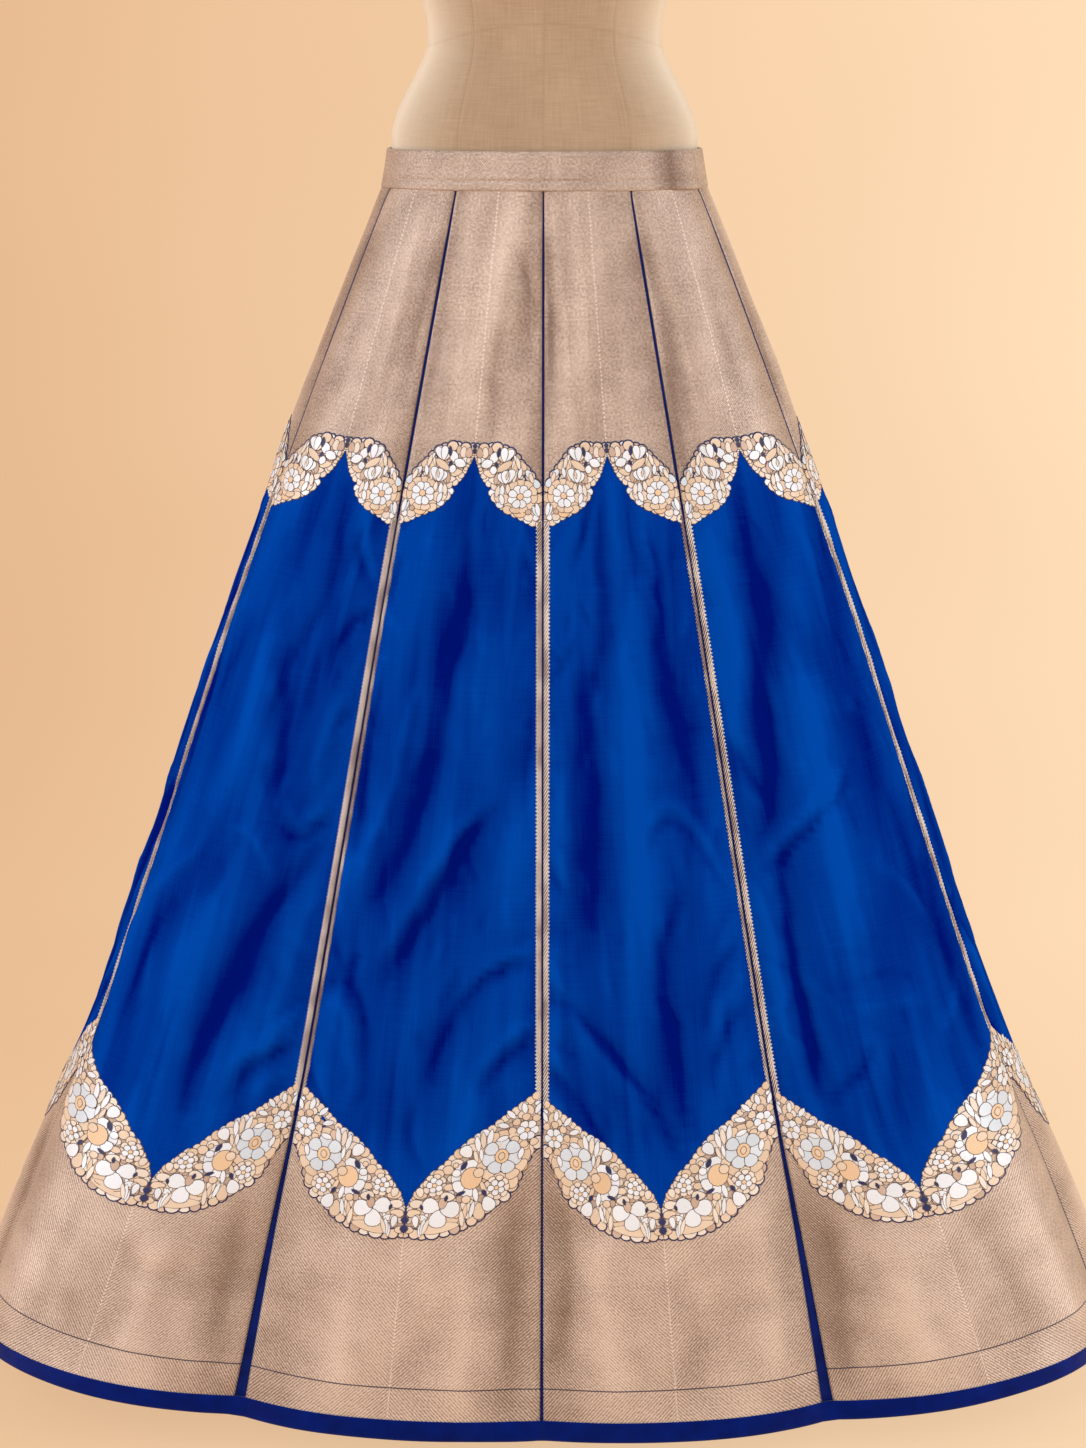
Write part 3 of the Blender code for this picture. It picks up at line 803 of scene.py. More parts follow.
def crease_field(table, across, falls, half_widths):
    """Displacement and painted shading of the cloth from a table of creases, on a grid of rows and columns.

    The painted shading is 1, a painted highlight, on the crown of a fold and -1, painted shade, in the
    bottom of a trough.
    """
    x = across[None, :] * half_widths[:, None]
    y = np.repeat(falls[:, None] * SKIRT_LENGTH, len(across), axis=1)
    x, y = [spots + sum(far * np.sin(down * y + over * x) for far, down, over in warp)
            for spots, warp in ((x, WARP_ACROSS), (y, WARP_DOWN))]
    depth = np.zeros(x.shape)
    lie = np.zeros(x.shape)
    step = np.linspace(0.0, 1.0, CREASE_STEPS)
    for a0, v0, a1, v1, a2, v2, width, deep in table:
        a = (1 - step) ** 2 * a0 + 2 * step * (1 - step) * (2 * a1 - 0.5 * (a0 + a2)) + step ** 2 * a2
        v = (1 - step) ** 2 * v0 + 2 * step * (1 - step) * (2 * v1 - 0.5 * (v0 + v2)) + step ** 2 * v2
        rows = np.flatnonzero((falls > v.min() - CREASE_REACH) & (falls < v.max() + CREASE_REACH))
        if not len(rows):
            continue
        line_x = a * np.interp(v, falls, half_widths)
        line_y = v * SKIRT_LENGTH
        gap = np.hypot(x[rows][..., None] - line_x, y[rows][..., None] - line_y)
        nearest = gap.argmin(axis=-1)
        gap = np.take_along_axis(gap, nearest[..., None], axis=-1)[..., 0]
        fade = np.sin(np.pi * np.clip(step[nearest], 0.0, 1.0)) ** CREASE_FADE
        form = np.exp(-(gap / width) ** CREASE_CREST) * (CREASE_END + (1 - CREASE_END) * fade)
        depth[rows] += deep * form
        lie[rows] += np.sign(deep) * min(abs(deep) / FULL_SHADING_DEPTH, MOST_SHADING) * form
    return depth, lie


def ripples(panel, across, falls):
    """A slow uneven wave over the whole kali."""
    dice = np.random.default_rng(70 + panel)
    field = np.zeros((len(falls), len(across)))
    for _ in range(RIPPLE_WAVES):
        waves_down = dice.uniform(1.0, 9.0)
        waves_across = dice.uniform(0.4, 2.6)
        phase = dice.uniform(0, 2 * np.pi)
        turns = waves_down * falls[:, None] + waves_across * across[None, :] / 2
        field += np.sin(2 * np.pi * turns + phase)
    return field / RIPPLE_WAVES ** 0.5


def hang_kali(panel):
    """The outer points of a kali, its normals and half widths, and the painted light and shade of its folds.
    """
    base = np.array([cloth_row(fall, kali_shares(panel, fall, KALI_COLUMNS)) for fall in KALI_FALLS])
    half_widths = np.linalg.norm(np.diff(base, axis=1), axis=-1).sum(axis=1) / 2
    table = np.concatenate((creases_of(panel), seam_puckers(panel), crumples(panel)))
    depth, lie = crease_field(table, KALI_COLUMNS, KALI_FALLS, half_widths)
    wave = ripples(panel, KALI_COLUMNS, KALI_FALLS)
    depth += RIPPLE * wave
    inset = (1 - np.abs(KALI_COLUMNS))[None, :] * half_widths[:, None]
    free = np.clip(inset / 0.010, 0.0, 1.0)
    low_enough = np.clip(KALI_FALLS / CREASE_CLEARANCE, 0.0, 1.0)[:, None]
    depth = depth * free * low_enough - EDGE_TURN * np.clip(1 - inset / 0.0020, 0.0, 1.0)
    outer = base + grid_normals(base) * depth[..., None]
    slope = np.gradient(depth, axis=1) / np.gradient(KALI_COLUMNS)[None, :] / half_widths[:, None]
    # Painted light and shade: lighter on the crests of the slow wave and on slopes that face the left,
    # darker in its hollows and on slopes that face the right.
    lie = lie + 0.25 * wave + SLOPE_SHADE * slope
    # Painted shade in the zari towards both seams, with a little painted light in the middle of the kali,
    # and the border made lighter all over.
    in_zari = np.interp(KALI_FALLS, (0.0, 0.20, 0.27, 0.74, 0.80, 1.0), (1, 1, 0, 0, 1, 1))[:, None]
    lie -= in_zari * SEAM_SHADE * (np.abs(KALI_COLUMNS)[None, :] ** 3 - 0.3)
    lie += BORDER_LIGHT * np.interp(KALI_FALLS, (0.74, 0.80), (0.0, 1.0))[:, None]
    return {
        "points": outer, "normals": grid_normals(outer), "half_widths": half_widths,
        "lie": np.clip(lie, -1.6, 1.6),
    }


# How the hang of each kali carries its woven design off its middle, as (sideways, down, and how much
# lower its left side than its centre) at the scallops and at the crescents.
SLIDES = (
    ((-0.0025, 0.0010, 0.0000), (-0.0065, 0.0000, 0.0027)),
    ((-0.0080, 0.0045, 0.0000), (-0.0270, 0.0100, -0.0010)),
    ((0.0030, 0.0020, 0.0010), (0.0080, 0.0040, 0.0030)),
    ((-0.0020, 0.0000, 0.0010), (-0.0050, 0.0020, -0.0020)),
    ((0.0010, 0.0010, 0.0000), (0.0040, 0.0000, 0.0010)),
    ((-0.0015, 0.0020, 0.0000), (-0.0040, 0.0010, 0.0000)),
    ((0.0020, 0.0010, -0.0010), (0.0060, 0.0030, 0.0020)),
    ((-0.0030, 0.0020, 0.0000), (-0.0080, 0.0040, -0.0030)),
    ((0.0110, 0.0055, 0.0000), (0.0270, 0.0085, 0.0060)),
    ((0.0000, 0.0020, 0.0000), (-0.0020, 0.0000, 0.0065)),
)
SLIDE_FALLS = (0.0, 0.23, 0.78, 1.0)


def slide(panel, fall):
    """How far a kali's design lies sideways, down and tilted at a fall."""
    at_scallops, at_crescents = SLIDES[panel]
    table = np.array(((0.0, 0.0, 0.0), at_scallops, at_crescents, (at_crescents[0], 0.0, 0.0)))
    return [np.interp(fall, SLIDE_FALLS, column) for column in table.T]


def on_kali(panel, out, down):
    """Where a point of the design, out from its centre line and down, lies across the kali and down it."""
    fall = np.asarray(down) / SKIRT_LENGTH
    sideways, drop, tilt = slide(panel, fall)
    half_width = np.interp(fall, KALI_FALLS, DESIGN_HALF_WIDTHS)
    across = np.clip(out / half_width, -1.0, 1.0)
    for _ in range(3):
        across = np.clip((out + sideways * (1 - across ** 2)) / half_width, -1.0, 1.0)
    return across, fall + (drop - tilt * across) / SKIRT_LENGTH


# Where blue silk gives way to zari: halfway through the upper scallops and the lower crescents, as
# (distance from the kali's centre line, distance below the waist seam).
SCALLOP_MIDDLE = (
    (0.000, 0.2205), (0.006, 0.226), (0.013, 0.234), (0.020, 0.241), (0.027, 0.247), (0.037, 0.254),
    (0.048, 0.263), (0.060, 0.271),
)
CRESCENT_MIDDLE = (
    (0.000, 0.905), (0.010, 0.904), (0.025, 0.897), (0.040, 0.884), (0.055, 0.872), (0.070, 0.857),
    (0.085, 0.842), (0.100, 0.826),
)
# The blue silk in painted shade and in painted light.
SILK_DARK = (0.0001, 0.0060, 0.1760)
SILK_LIGHT = (0.0003, 0.0640, 0.4250)
# The zari's darker and lighter colour: its twill and flecks run between them, and so does the painted
# shading of its folds.
ZARI_DARK = (0.230, 0.140, 0.098)
ZARI_LIGHT = (0.820, 0.630, 0.520)
ZARI_PALE = (0.900, 0.760, 0.660)
NAVY = (0.004, 0.006, 0.045)
TWILL_PITCH = 0.0034
YOKE_FINENESS = 1.45
YOKE_FAINTNESS = 0.50
HERRINGBONE = 0.0090
BORDER_TOP = 0.760
WOVEN_LINE = 1.0622
WOVEN_LINE_HALF = 0.0006
WOVEN_LINE_STRENGTH = 0.85
DOT_PITCH = 0.0036
DOT_HALF_WIDTH = 0.0006
DOT_STRENGTH = 0.70


def bilinear(grid, rows, columns):
    """Values of a grid at fractional rows and columns."""
    row = np.clip(np.floor(rows).astype(int), 0, grid.shape[0] - 2)
    column = np.clip(np.floor(columns).astype(int), 0, grid.shape[1] - 2)
    down = (rows - row)[..., None]
    over = (columns - column)[..., None]
    top = grid[row, column] * (1 - over) + grid[row, column + 1] * over
    bottom = grid[row + 1, column] * (1 - over) + grid[row + 1, column + 1] * over
    return top * (1 - down) + bottom * down


def make_blue_silk():
    """Taffeta of one blue, with fine slubs, painted lighter on the crown of a fold and painted darker in its
    trough.
    """
    material, tree, shader = new_finish(
        "royal_blue_silk", Sheen_Weight=0.06, Sheen_Roughness=0.35, Sheen_Tint=(0.0, 0.16, 0.75, 1.0),
        Specular_IOR_Level=0.0)
    where = cloth_place(tree, "kali")
    weave = use_effect(tree, plain_weave, {"Place": where, "Thread Width": 0.00045, "Slub Length": 0.045})
    # Narrow upright streaks of painted sheen.
    painted_sheen_streaks = noise(tree, stretch(tree, where, (27.0, 2.6, 1.0)), distortion=0.35)
    # The blue is mixed between painted shade and painted light by the folds' painted shading, the streaks of
    # painted sheen and the slubs.
    tone = add_up(
        tree, reckon(tree, "MULTIPLY_ADD", value_named(tree, "lie"), 0.42, 0.55),
        spread(tree, painted_sheen_streaks, 0.43, 0.57, -0.17, 0.17),
        spread(tree, weave["Tone"], 0.2, 0.8, -0.09, 0.09))
    tree.links.new(tint(tree, tone, SILK_DARK, SILK_LIGHT), shader.inputs["Base Color"])
    tree.links.new(spread(tree, weave["Tone"], 0.0, 1.0, 0.46, 0.36), shader.inputs["Roughness"])
    emboss(tree, shader, weave["Height"], 0.00012)
    return material


def make_twill():
    """Slanting lines of zari: a wide V about the centre line in the border, a fine zigzag in the yoke."""
    group, start, end = new_effect(
        "zari_twill",
        (("Place", "NodeSocketVector", None), ("Pitch", "NodeSocketFloat", TWILL_PITCH),
         ("Zigzag", "NodeSocketFloat", HERRINGBONE)),
        (("Line", "NodeSocketFloat"), ("Fleck", "NodeSocketFloat"), ("Bar", "NodeSocketFloat")))
    axes = place(group, "ShaderNodeSeparateXYZ", {0: start.outputs["Place"]}).outputs
    side = reckon(group, "ABSOLUTE", axes[0])
    zigzag = reckon(group, "PINGPONG", axes[0], start.outputs["Zigzag"])
    yoke = reckon(group, "MULTIPLY", reckon(group, "ADD", axes[1], zigzag), YOKE_FINENESS)
    upright = reckon(group, "ADD", axes[1], side)
    turned = reckon(group, "SUBTRACT", axes[1], side)
    under_line = reckon(group, "GREATER_THAN", axes[1], WOVEN_LINE)
    in_border = reckon(group, "GREATER_THAN", axes[1], BORDER_TOP)
    border = place(group, "ShaderNodeMix", {0: under_line, 2: upright, 3: turned}).outputs[0]
    slant = place(group, "ShaderNodeMix", {0: in_border, 2: yoke, 3: border}).outputs[0]
    slant = reckon(group, "MULTIPLY_ADD", noise(group, start.outputs["Place"], 240.0), 0.0009, slant)
    turns = reckon(group, "DIVIDE", 2 * np.pi, start.outputs["Pitch"])
    strength = spread(group, in_border, 0.0, 1.0, 0.5 * YOKE_FAINTNESS, 0.5)
    wave = reckon(group, "SINE", reckon(group, "MULTIPLY", slant, turns))
    line = reckon(group, "MULTIPLY_ADD", wave, strength, 0.5)
    fleck = noise(group, start.outputs["Place"], 520.0)
    bar = noise(group, stretch(group, start.outputs["Place"], (14.0, 420.0, 1.0)))
    for socket, value in (("Line", line), ("Fleck", fleck), ("Bar", bar)):
        group.links.new(value, end.inputs[socket])
    return group


def make_zari(name, map_name, light, dark, pale):
    """Rose-gold zari brocade, with the marks that its loom leaves down and across it."""
    material, tree, shader = new_finish(name, Metallic=0.30, Sheen_Weight=0.15, Sheen_Roughness=0.4)
    where = cloth_place(tree, map_name)
    twill = use_effect(tree, zari_twill, {"Place": where})
    # The tone takes in painted light and shade from the cloth's folds, and on the waistband the painted
    # shade beside its lap.
    tone = add_up(
        tree, reckon(tree, "MULTIPLY_ADD", value_named(tree, "lie"), 0.29, 0.42),
        spread(tree, noise(tree, where, 26.0, 5.0), 0.3, 0.7, -0.13, 0.12),
        spread(tree, twill["Line"], 0.0, 1.0, -0.30, 0.30),
        spread(tree, twill["Fleck"], 0.3, 0.7, -0.25, 0.26),
        spread(tree, twill["Bar"], 0.35, 0.7, -0.02, 0.03))
    colour = tint(tree, tone, dark, light)
    axes = place(tree, "ShaderNodeSeparateXYZ", {0: where}).outputs
    near_centre = reckon(tree, "LESS_THAN", reckon(tree, "ABSOLUTE", axes[0]), DOT_HALF_WIDTH)
    dots = reckon(tree, "LESS_THAN", reckon(tree, "WRAP", axes[1], DOT_PITCH, 0.0), 0.5 * DOT_PITCH)
    dotted = reckon(tree, "MULTIPLY", reckon(tree, "MULTIPLY", near_centre, dots), DOT_STRENGTH)
    colour = tint(tree, dotted, colour, pale)
    line_gap = reckon(tree, "ABSOLUTE", reckon(tree, "SUBTRACT", axes[1], WOVEN_LINE))
    on_line = reckon(tree, "LESS_THAN", line_gap, WOVEN_LINE_HALF)
    colour = tint(tree, reckon(tree, "MULTIPLY", on_line, WOVEN_LINE_STRENGTH), colour, NAVY)
    tree.links.new(colour, shader.inputs["Base Color"])
    tree.links.new(spread(tree, twill["Fleck"], 0.3, 0.7, 0.52, 0.38), shader.inputs["Roughness"])
    relief = reckon(tree, "MULTIPLY_ADD", twill["Line"], 0.6, reckon(tree, "MULTIPLY", twill["Fleck"], 0.4))
    emboss(tree, shader, relief, 0.00035)
    return material


def add_kali(panel):
    """One kali, its faces blue silk between the scallops and the crescents and zari elsewhere."""
    cloth = kalis[panel]
    points, faces, bake = shell(cloth["points"], CLOTH)
    down = np.repeat(KALI_FALLS * SKIRT_LENGTH, len(KALI_COLUMNS))
    sideways, drop, tilt = slide(panel, KALI_FALLS[:, None])
    moved = sideways * (1 - KALI_COLUMNS ** 2)
    place_on = np.column_stack(((np.outer(cloth["half_widths"], KALI_COLUMNS) - moved).ravel(), down))
    design_x = (np.outer(DESIGN_HALF_WIDTHS, KALI_COLUMNS) - moved).ravel()
    design_y = down - (drop - tilt * KALI_COLUMNS).ravel()
    middle_x = np.abs(np.concatenate((design_x, design_x))[faces].mean(axis=1))
    middle_y = np.concatenate((design_y, design_y))[faces].mean(axis=1)
    below_scallops = middle_y > np.interp(middle_x, *zip(*SCALLOP_MIDDLE))
    above_crescents = middle_y < np.interp(middle_x, *zip(*CRESCENT_MIDDLE))
    blue = below_scallops & above_crescents
    lie = cloth["lie"].ravel()
    piece = add_mesh(
        f"kali_{panel + 1}_silk", points, faces, (zari_brocade, blue_silk), blue.astype(int),
        maps={"OFBake": bake, "kali": np.concatenate((place_on, place_on))[faces].reshape(-1, 2)},
        values={"lie": np.concatenate((lie, lie))})
    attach(piece, "root")
    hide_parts(f"kali_{panel + 1}")
    return piece


kalis = [hang_kali(panel) for panel in range(PANEL_COUNT)]
DESIGN_HALF_WIDTHS = kalis[0]["half_widths"]
blue_silk = make_blue_silk()
zari_twill = make_twill()
zari_brocade = make_zari("rose_gold_zari", "kali", ZARI_LIGHT, ZARI_DARK, ZARI_PALE)
kali_pieces = [add_kali(panel) for panel in range(PANEL_COUNT)]


# ------------------------------------------------------------------------------------------------
# Flowered scallops and crescents. Extra wefts of zari and coloured silk float over the cloth, each
# shape cut off by a dark line: a scalloped lobe on each side of a kali's arch, and a deeper crescent
# on each side of its point. Half of each is drawn, and then turned over for the other side.

# All the tables of this drawing are in tenths of a millimetre, with headings in degrees.
TENTHS = 10000
# Edges of the half scallop and of the half crescent, as (out from the centre line, down from the
# waist seam): against the zari, and against the blue.
SCALLOP_ZARI_EDGE = (
    (8, 2188), (100, 2182), (170, 2172), (230, 2185), (300, 2212), (360, 2262), (405, 2325),
    (460, 2385), (510, 2440), (560, 2520), (640, 2600),
)
SCALLOP_BLUE_EDGE = (
    (3, 2262), (22, 2312), (43, 2355), (64, 2408), (95, 2465), (140, 2520), (165, 2590), (210, 2660),
    (270, 2718), (350, 2765), (430, 2805), (510, 2850), (640, 2895),
)
CRESCENT_ZARI_EDGE = (
    (8, 9222), (120, 9238), (220, 9232), (310, 9212), (420, 9198), (500, 9148), (590, 9110),
    (660, 9045), (730, 8960), (830, 8915), (890, 8820), (930, 8695), (965, 8585), (1010, 8490),
    (1140, 8400),
)
CRESCENT_BLUE_EDGE = (
    (6, 8990), (45, 8895), (115, 8785), (200, 8675), (290, 8590), (360, 8510), (425, 8435), (530, 8342),
    (660, 8262), (740, 8190), (845, 8110), (940, 8035), (1040, 7950),
)
# The shapes, as (kind, out, down, heading, length, width, thread, tier). A disc and a lozenge lie
# about their own middle, a petal and a leaf grow from their foot; a heading of 0 points outwards,
# 90 down. Higher tiers are woven over lower ones.
SCALLOP_FLOATS = (
    ("disc", 415, 2622, 0, 260, 260, "peach", 1),
    ("disc", 415, 2622, 0, 54, 54, "fruit", 5),
    ("disc", 425, 2768, 10, 105, 74, "fruit", 2),
    ("disc", 325, 2738, 30, 92, 66, "peach", 2),
    ("disc", 505, 2802, 20, 82, 66, "pale", 2),
    ("disc", 252, 2690, 30, 66, 60, "white", 2),
    ("leaf", 560, 2680, 78, 120, 36, "white", 4),
    ("leaf", 528, 2702, 62, 110, 34, "silver", 4),
    ("petal", 572, 2762, 96, 74, 46, "white", 4),
    ("disc", 570, 2640, 0, 80, 80, "peach", 2),
    ("leaf", 352, 2500, 268, 235, 52, "pale", 3),
    ("leaf", 322, 2500, 282, 200, 36, "peach", 4),
    ("leaf", 330, 2315, 146, 160, 62, "peach", 3),
    ("petal", 288, 2505, 296, 132, 66, "white", 5),
    ("petal", 288, 2505, 232, 104, 62, "white", 5),
    ("petal", 288, 2508, 264, 112, 64, "white", 6),
    ("lozenge", 291, 2445, 276, 62, 18, "peach", 7),
    ("lozenge", 170, 2285, 104, 98, 72, "white", 4),
    ("lozenge", 118, 2342, 156, 100, 76, "white", 4),
    ("lozenge", 172, 2392, 80, 72, 58, "white", 4),
    ("lozenge", 208, 2240, 96, 84, 32, "navy", 5),
    ("lozenge", 196, 2345, 60, 52, 24, "navy", 3),
    ("petal", 262, 2318, 302, 120, 60, "white", 4),
    ("petal", 258, 2322, 268, 122, 56, "white", 5),
    ("petal", 250, 2320, 240, 100, 46, "pale", 4),
    ("leaf", 335, 2262, 62, 120, 34, "white", 4),
    ("leaf", 362, 2280, 76, 110, 32, "pale", 4),
    ("petal", 392, 2318, 58, 88, 50, "peach", 3),
    ("leaf", 404, 2372, 98, 94, 34, "white", 4),
    ("petal", 446, 2392, 52, 80, 48, "white", 4),
    ("leaf", 478, 2418, 66, 96, 34, "pale", 4),
    ("petal", 520, 2470, 60, 86, 50, "silver", 3),
    ("petal", 42, 2205, 84, 86, 54, "rose", 3),
    ("petal", 90, 2198, 92, 94, 56, "pale", 3),
    ("petal", 134, 2192, 98, 70, 44, "rose", 3),
    ("leaf", 62, 2350, 20, 72, 42, "peach", 3),
    ("petal", 90, 2410, 16, 100, 58, "peach", 3),
    ("petal", 140, 2476, 8, 100, 54, "pale", 3),
    ("leaf", 212, 2420, 96, 100, 44, "rose", 3),
    ("leaf", 245, 2420, 80, 110, 36, "peach", 3),
    ("leaf", 262, 2520, 92, 110, 42, "white", 4),
    ("leaf", 228, 2525, 98, 100, 36, "pale", 4),
    ("leaf", 302, 2512, 80, 90, 36, "pale", 4),
    ("leaf", 250, 2600, 72, 94, 40, "white", 4),
    ("leaf", 208, 2585, 74, 94, 40, "pale", 4),
)
# Rings: (out, down, how many, distance, heading of the first, kind, length, width, thread, tier).
SCALLOP_RINGS = (
    (415, 2622, 11, 86, 8, "petal", 62, 84, "peach", 2),
    (415, 2622, 8, 27, 22, "petal", 76, 61, "white", 4),
)
CRESCENT_FLOATS = (
    ("disc", 760, 8530, 0, 410, 410, "peach", 1),
    ("disc", 760, 8530, 90, 124, 110, "fruit", 5),
    ("lozenge", 760, 8530, 100, 70, 50, "peach", 6),
    ("leaf", 640, 8440, 282, 160, 46, "white", 4),
    ("leaf", 600, 8450, 268, 150, 46, "pale", 4),
    ("leaf", 565, 8480, 256, 150, 44, "white", 4),
    ("leaf", 595, 8560, 262, 110, 32, "white", 5),
    ("leaf", 560, 8570, 250, 110, 34, "pale", 5),
    ("petal", 500, 8520, 232, 120, 96, "white", 4),
    ("disc", 525, 8715, 96, 194, 174, "fruit", 5),
    ("disc", 580, 8668, 0, 84, 82, "peach", 6),
    ("leaf", 600, 8740, 64, 130, 36, "peach", 4),
    ("leaf", 555, 8800, 76, 130, 44, "white", 5),
    ("disc", 740, 8810, 0, 200, 184, "peach", 2),
    ("disc", 740, 8810, 0, 36, 36, "fruit", 6),
    ("petal", 655, 8890, 66, 136, 104, "white", 4),
    ("petal", 605, 8940, 84, 150, 90, "peach", 3),
    ("leaf", 562, 8925, 100, 150, 36, "white", 4),
    ("leaf", 528, 8925, 106, 150, 36, "pale", 4),
    ("leaf", 500, 8950, 96, 150, 36, "peach", 4),
    ("leaf", 465, 9000, 84, 150, 40, "pale", 4),
    ("disc", 560, 8880, 0, 64, 60, "pale", 4),
    ("disc", 495, 8905, 0, 70, 66, "peach", 4),
    ("disc", 225, 8770, 0, 190, 180, "peach", 2),
    ("disc", 225, 8770, 0, 36, 36, "fruit", 6),
    ("disc", 395, 8580, 0, 100, 88, "pale", 3),
    ("disc", 385, 8590, 0, 46, 46, "peach", 4),
    ("disc", 325, 8635, 0, 88, 80, "peach", 3),
    ("disc", 395, 8665, 0, 70, 64, "white", 4),
    ("disc", 355, 8715, 0, 62, 58, "pale", 4),
    ("disc", 250, 8670, 0, 86, 74, "peach", 3),
    ("disc", 345, 8790, 0, 86, 60, "peach", 4),
    ("petal", 400, 8880, 184, 120, 80, "pale", 3),
    ("disc", 285, 9015, 0, 400, 310, "peach", 1),
    ("petal", 292, 8990, 358, 158, 140, "white", 4),
    ("petal", 282, 8982, 198, 152, 134, "white", 4),
    ("petal", 282, 8998, 98, 156, 140, "white", 4),
    ("petal", 300, 8985, 274, 96, 66, "rose", 5),
    ("petal", 455, 9128, 170, 330, 96, "peach", 3),
    ("petal", 435, 8930, 92, 140, 72, "fruit", 3),
    ("disc", 952, 8310, 0, 40, 40, "fruit", 6),
    ("petal", 68, 9140, 292, 110, 56, "peach", 5),
    ("petal", 98, 9150, 262, 104, 50, "white", 6),
    ("leaf", 165, 9072, 100, 150, 36, "white", 6),
    ("leaf", 200, 9075, 108, 150, 34, "pale", 6),
    ("leaf", 134, 9120, 88, 120, 34, "white", 6),
    ("petal", 170, 8870, 192, 120, 72, "peach", 3),
    ("petal", 160, 8940, 180, 130, 70, "pale", 4),
    ("petal", 130, 9015, 172, 116, 64, "peach", 3),
    ("petal", 116, 8876, 254, 84, 60, "pale", 5),
    ("petal", 80, 9180, 186, 70, 60, "peach", 3),
    ("petal", 880, 8700, 104, 130, 104, "peach", 2),
    ("petal", 945, 8560, 100, 120, 90, "fruit", 2),
    ("petal", 985, 8440, 96, 110, 84, "peach", 2),
    ("lozenge", 452, 8600, 120, 84, 40, "navy", 6),
    ("lozenge", 446, 8850, 150, 80, 30, "navy", 6),
    ("lozenge", 642, 8850, 60, 60, 34, "navy", 6),
    ("lozenge", 330, 8890, 100, 52, 26, "navy", 6),
    ("lozenge", 130, 8970, 70, 48, 24, "navy", 6),
)
CRESCENT_RINGS = (
    (760, 8530, 12, 146, 0, "petal", 88, 118, "peach", 2),
    (760, 8530, 7, 50, 12, "petal", 116, 112, "silver", 4),
    (740, 8810, 5, 12, 30, "petal", 60, 50, "white", 4),
    (740, 8810, 9, 62, 0, "petal", 46, 58, "pale", 3),
    (952, 8310, 6, 20, 0, "petal", 70, 64, "white", 5),
    (952, 8310, 9, 90, 20, "petal", 64, 66, "peach", 3),
    (225, 8770, 8, 54, 10, "petal", 48, 56, "pale", 3),
    (225, 8770, 5, 10, 36, "petal", 60, 50, "white", 4),
)
# White petals that clasp the fruit, and arches of small petals by the seam. Each is swept from one
# heading to another: (out, down, how many, distance, from, to, kind, length, width, thread, tier).
SWEEPS = (
    (525, 8715, 5, 72, 104, 262, "petal", 96, 112, "white", 4),
    (952, 8310, 7, 158, 100, 290, "leaf", 100, 46, "white", 4),
)
# The navy line that parts the two halves, and the beads and diamonds on it.
CENTRE_FLOATS = (
    ("lozenge", 0, 2190, 90, 40, 34, "navy", 1),
    ("lozenge", 0, 2232, 90, 46, 32, "navy", 1),
    ("leaf", 0, 8960, 90, 270, 16, "navy", 1),
    ("lozenge", 0, 9020, 90, 36, 30, "navy", 1),
    ("lozenge", 0, 9085, 90, 66, 62, "navy", 1),
    ("lozenge", 0, 9165, 90, 70, 66, "navy", 1),
)
CENTRE_LEVEL = 7
# Discs along the two edges of the ground: how far inside the edge their middles lie and how far
# apart they are, as shares of their size, and the least share of that spacing on a steep stretch.
ZARI_DISCS = (0.24, 0.80, 0.35)
BLUE_DISCS = (0.20, 0.82, 0.30)
BLUE_DISC_SIZES = (0.0056, 0.0092)
DISC_SQUASH = 0.95
# The least and most size of the discs against the zari, and of the small shapes that fill gaps.
SCALLOP_SIZES = ((0.0062, 0.0088), (0.0026, 0.0046))
CRESCENT_SIZES = ((0.0084, 0.0122), (0.0034, 0.0064))
THREADS = ("ground", "line", "navy", "peach", "pale", "fruit", "rose", "white", "silver")
EDGE_TIER = 1
GROUND_LIFT = 0.00030
GROUND_SHARES = (0.05, 0.07, 0.25, 0.50, 0.75, 0.93, 0.95)
LEVEL_LIFT = 0.00014
DOME_SHARE = 0.035
DOME_MOST = 0.00030
DOMED_FROM = 0.0045
LINE_WIDTH = 0.00060
NAVY_LINE_WIDTH = 0.00135
SUNK = -0.00020
GAP_FILLS = 420
FILL_LENGTH = 1.7
MOST_COVERED = 0.30
EDGE_STEPS = 400
SEAM_CLEARANCE = 0.985


def float_outline(kind, out, down, heading, length, width):
    """The outline of a float, as points (out, down)."""
    corners = int(np.clip(5 + 580 * max(length, width), 7, 14))
    turn = np.linspace(0, 2 * np.pi, corners, endpoint=False)
    along, aside = 0.5 * length * np.cos(turn), 0.5 * width * np.sin(turn)
    if kind in ("leaf", "lozenge"):
        aside = aside * np.abs(np.sin(turn)) ** 0.6
    if kind == "petal":
        along = 0.5 * length - along
        aside = aside * (1 - 0.30 * np.cos(turn))
    if kind == "leaf":
        along = 0.5 * length - along
    angle = np.radians(heading)
    return np.column_stack((out + along * np.cos(angle) - aside * np.sin(angle),
                            down + along * np.sin(angle) + aside * np.cos(angle)))


def new_float(kind, out, down, heading, length, width, thread, tier, edge="line"):
    """A float: its outline, its thread, its tier and the colour of the line round it."""
    shape = float_outline(kind, out, down, heading, length, width)
    return {"outline": shape, "middle": shape.mean(axis=0), "heading": heading, "thread": thread,
            "size": min(length, width), "tier": tier, "edge": edge}


def swept(out, down, count, distance, start, end, *rest):
    """Rows for shapes at even headings round a centre, from one heading to another."""
    kind, length, width, thread, tier = rest
    for heading in np.linspace(start, end, count):
        foot_out = out + distance * np.cos(np.radians(heading))
        foot_down = down + distance * np.sin(np.radians(heading))
        yield kind, foot_out, foot_down, heading, length, width, thread, tier


def ringed(out, down, count, distance, start, *rest):
    """Rows for shapes spread evenly all round a centre."""
    return swept(out, down, count, distance, start, start + 360 * (count - 1) / count, *rest)


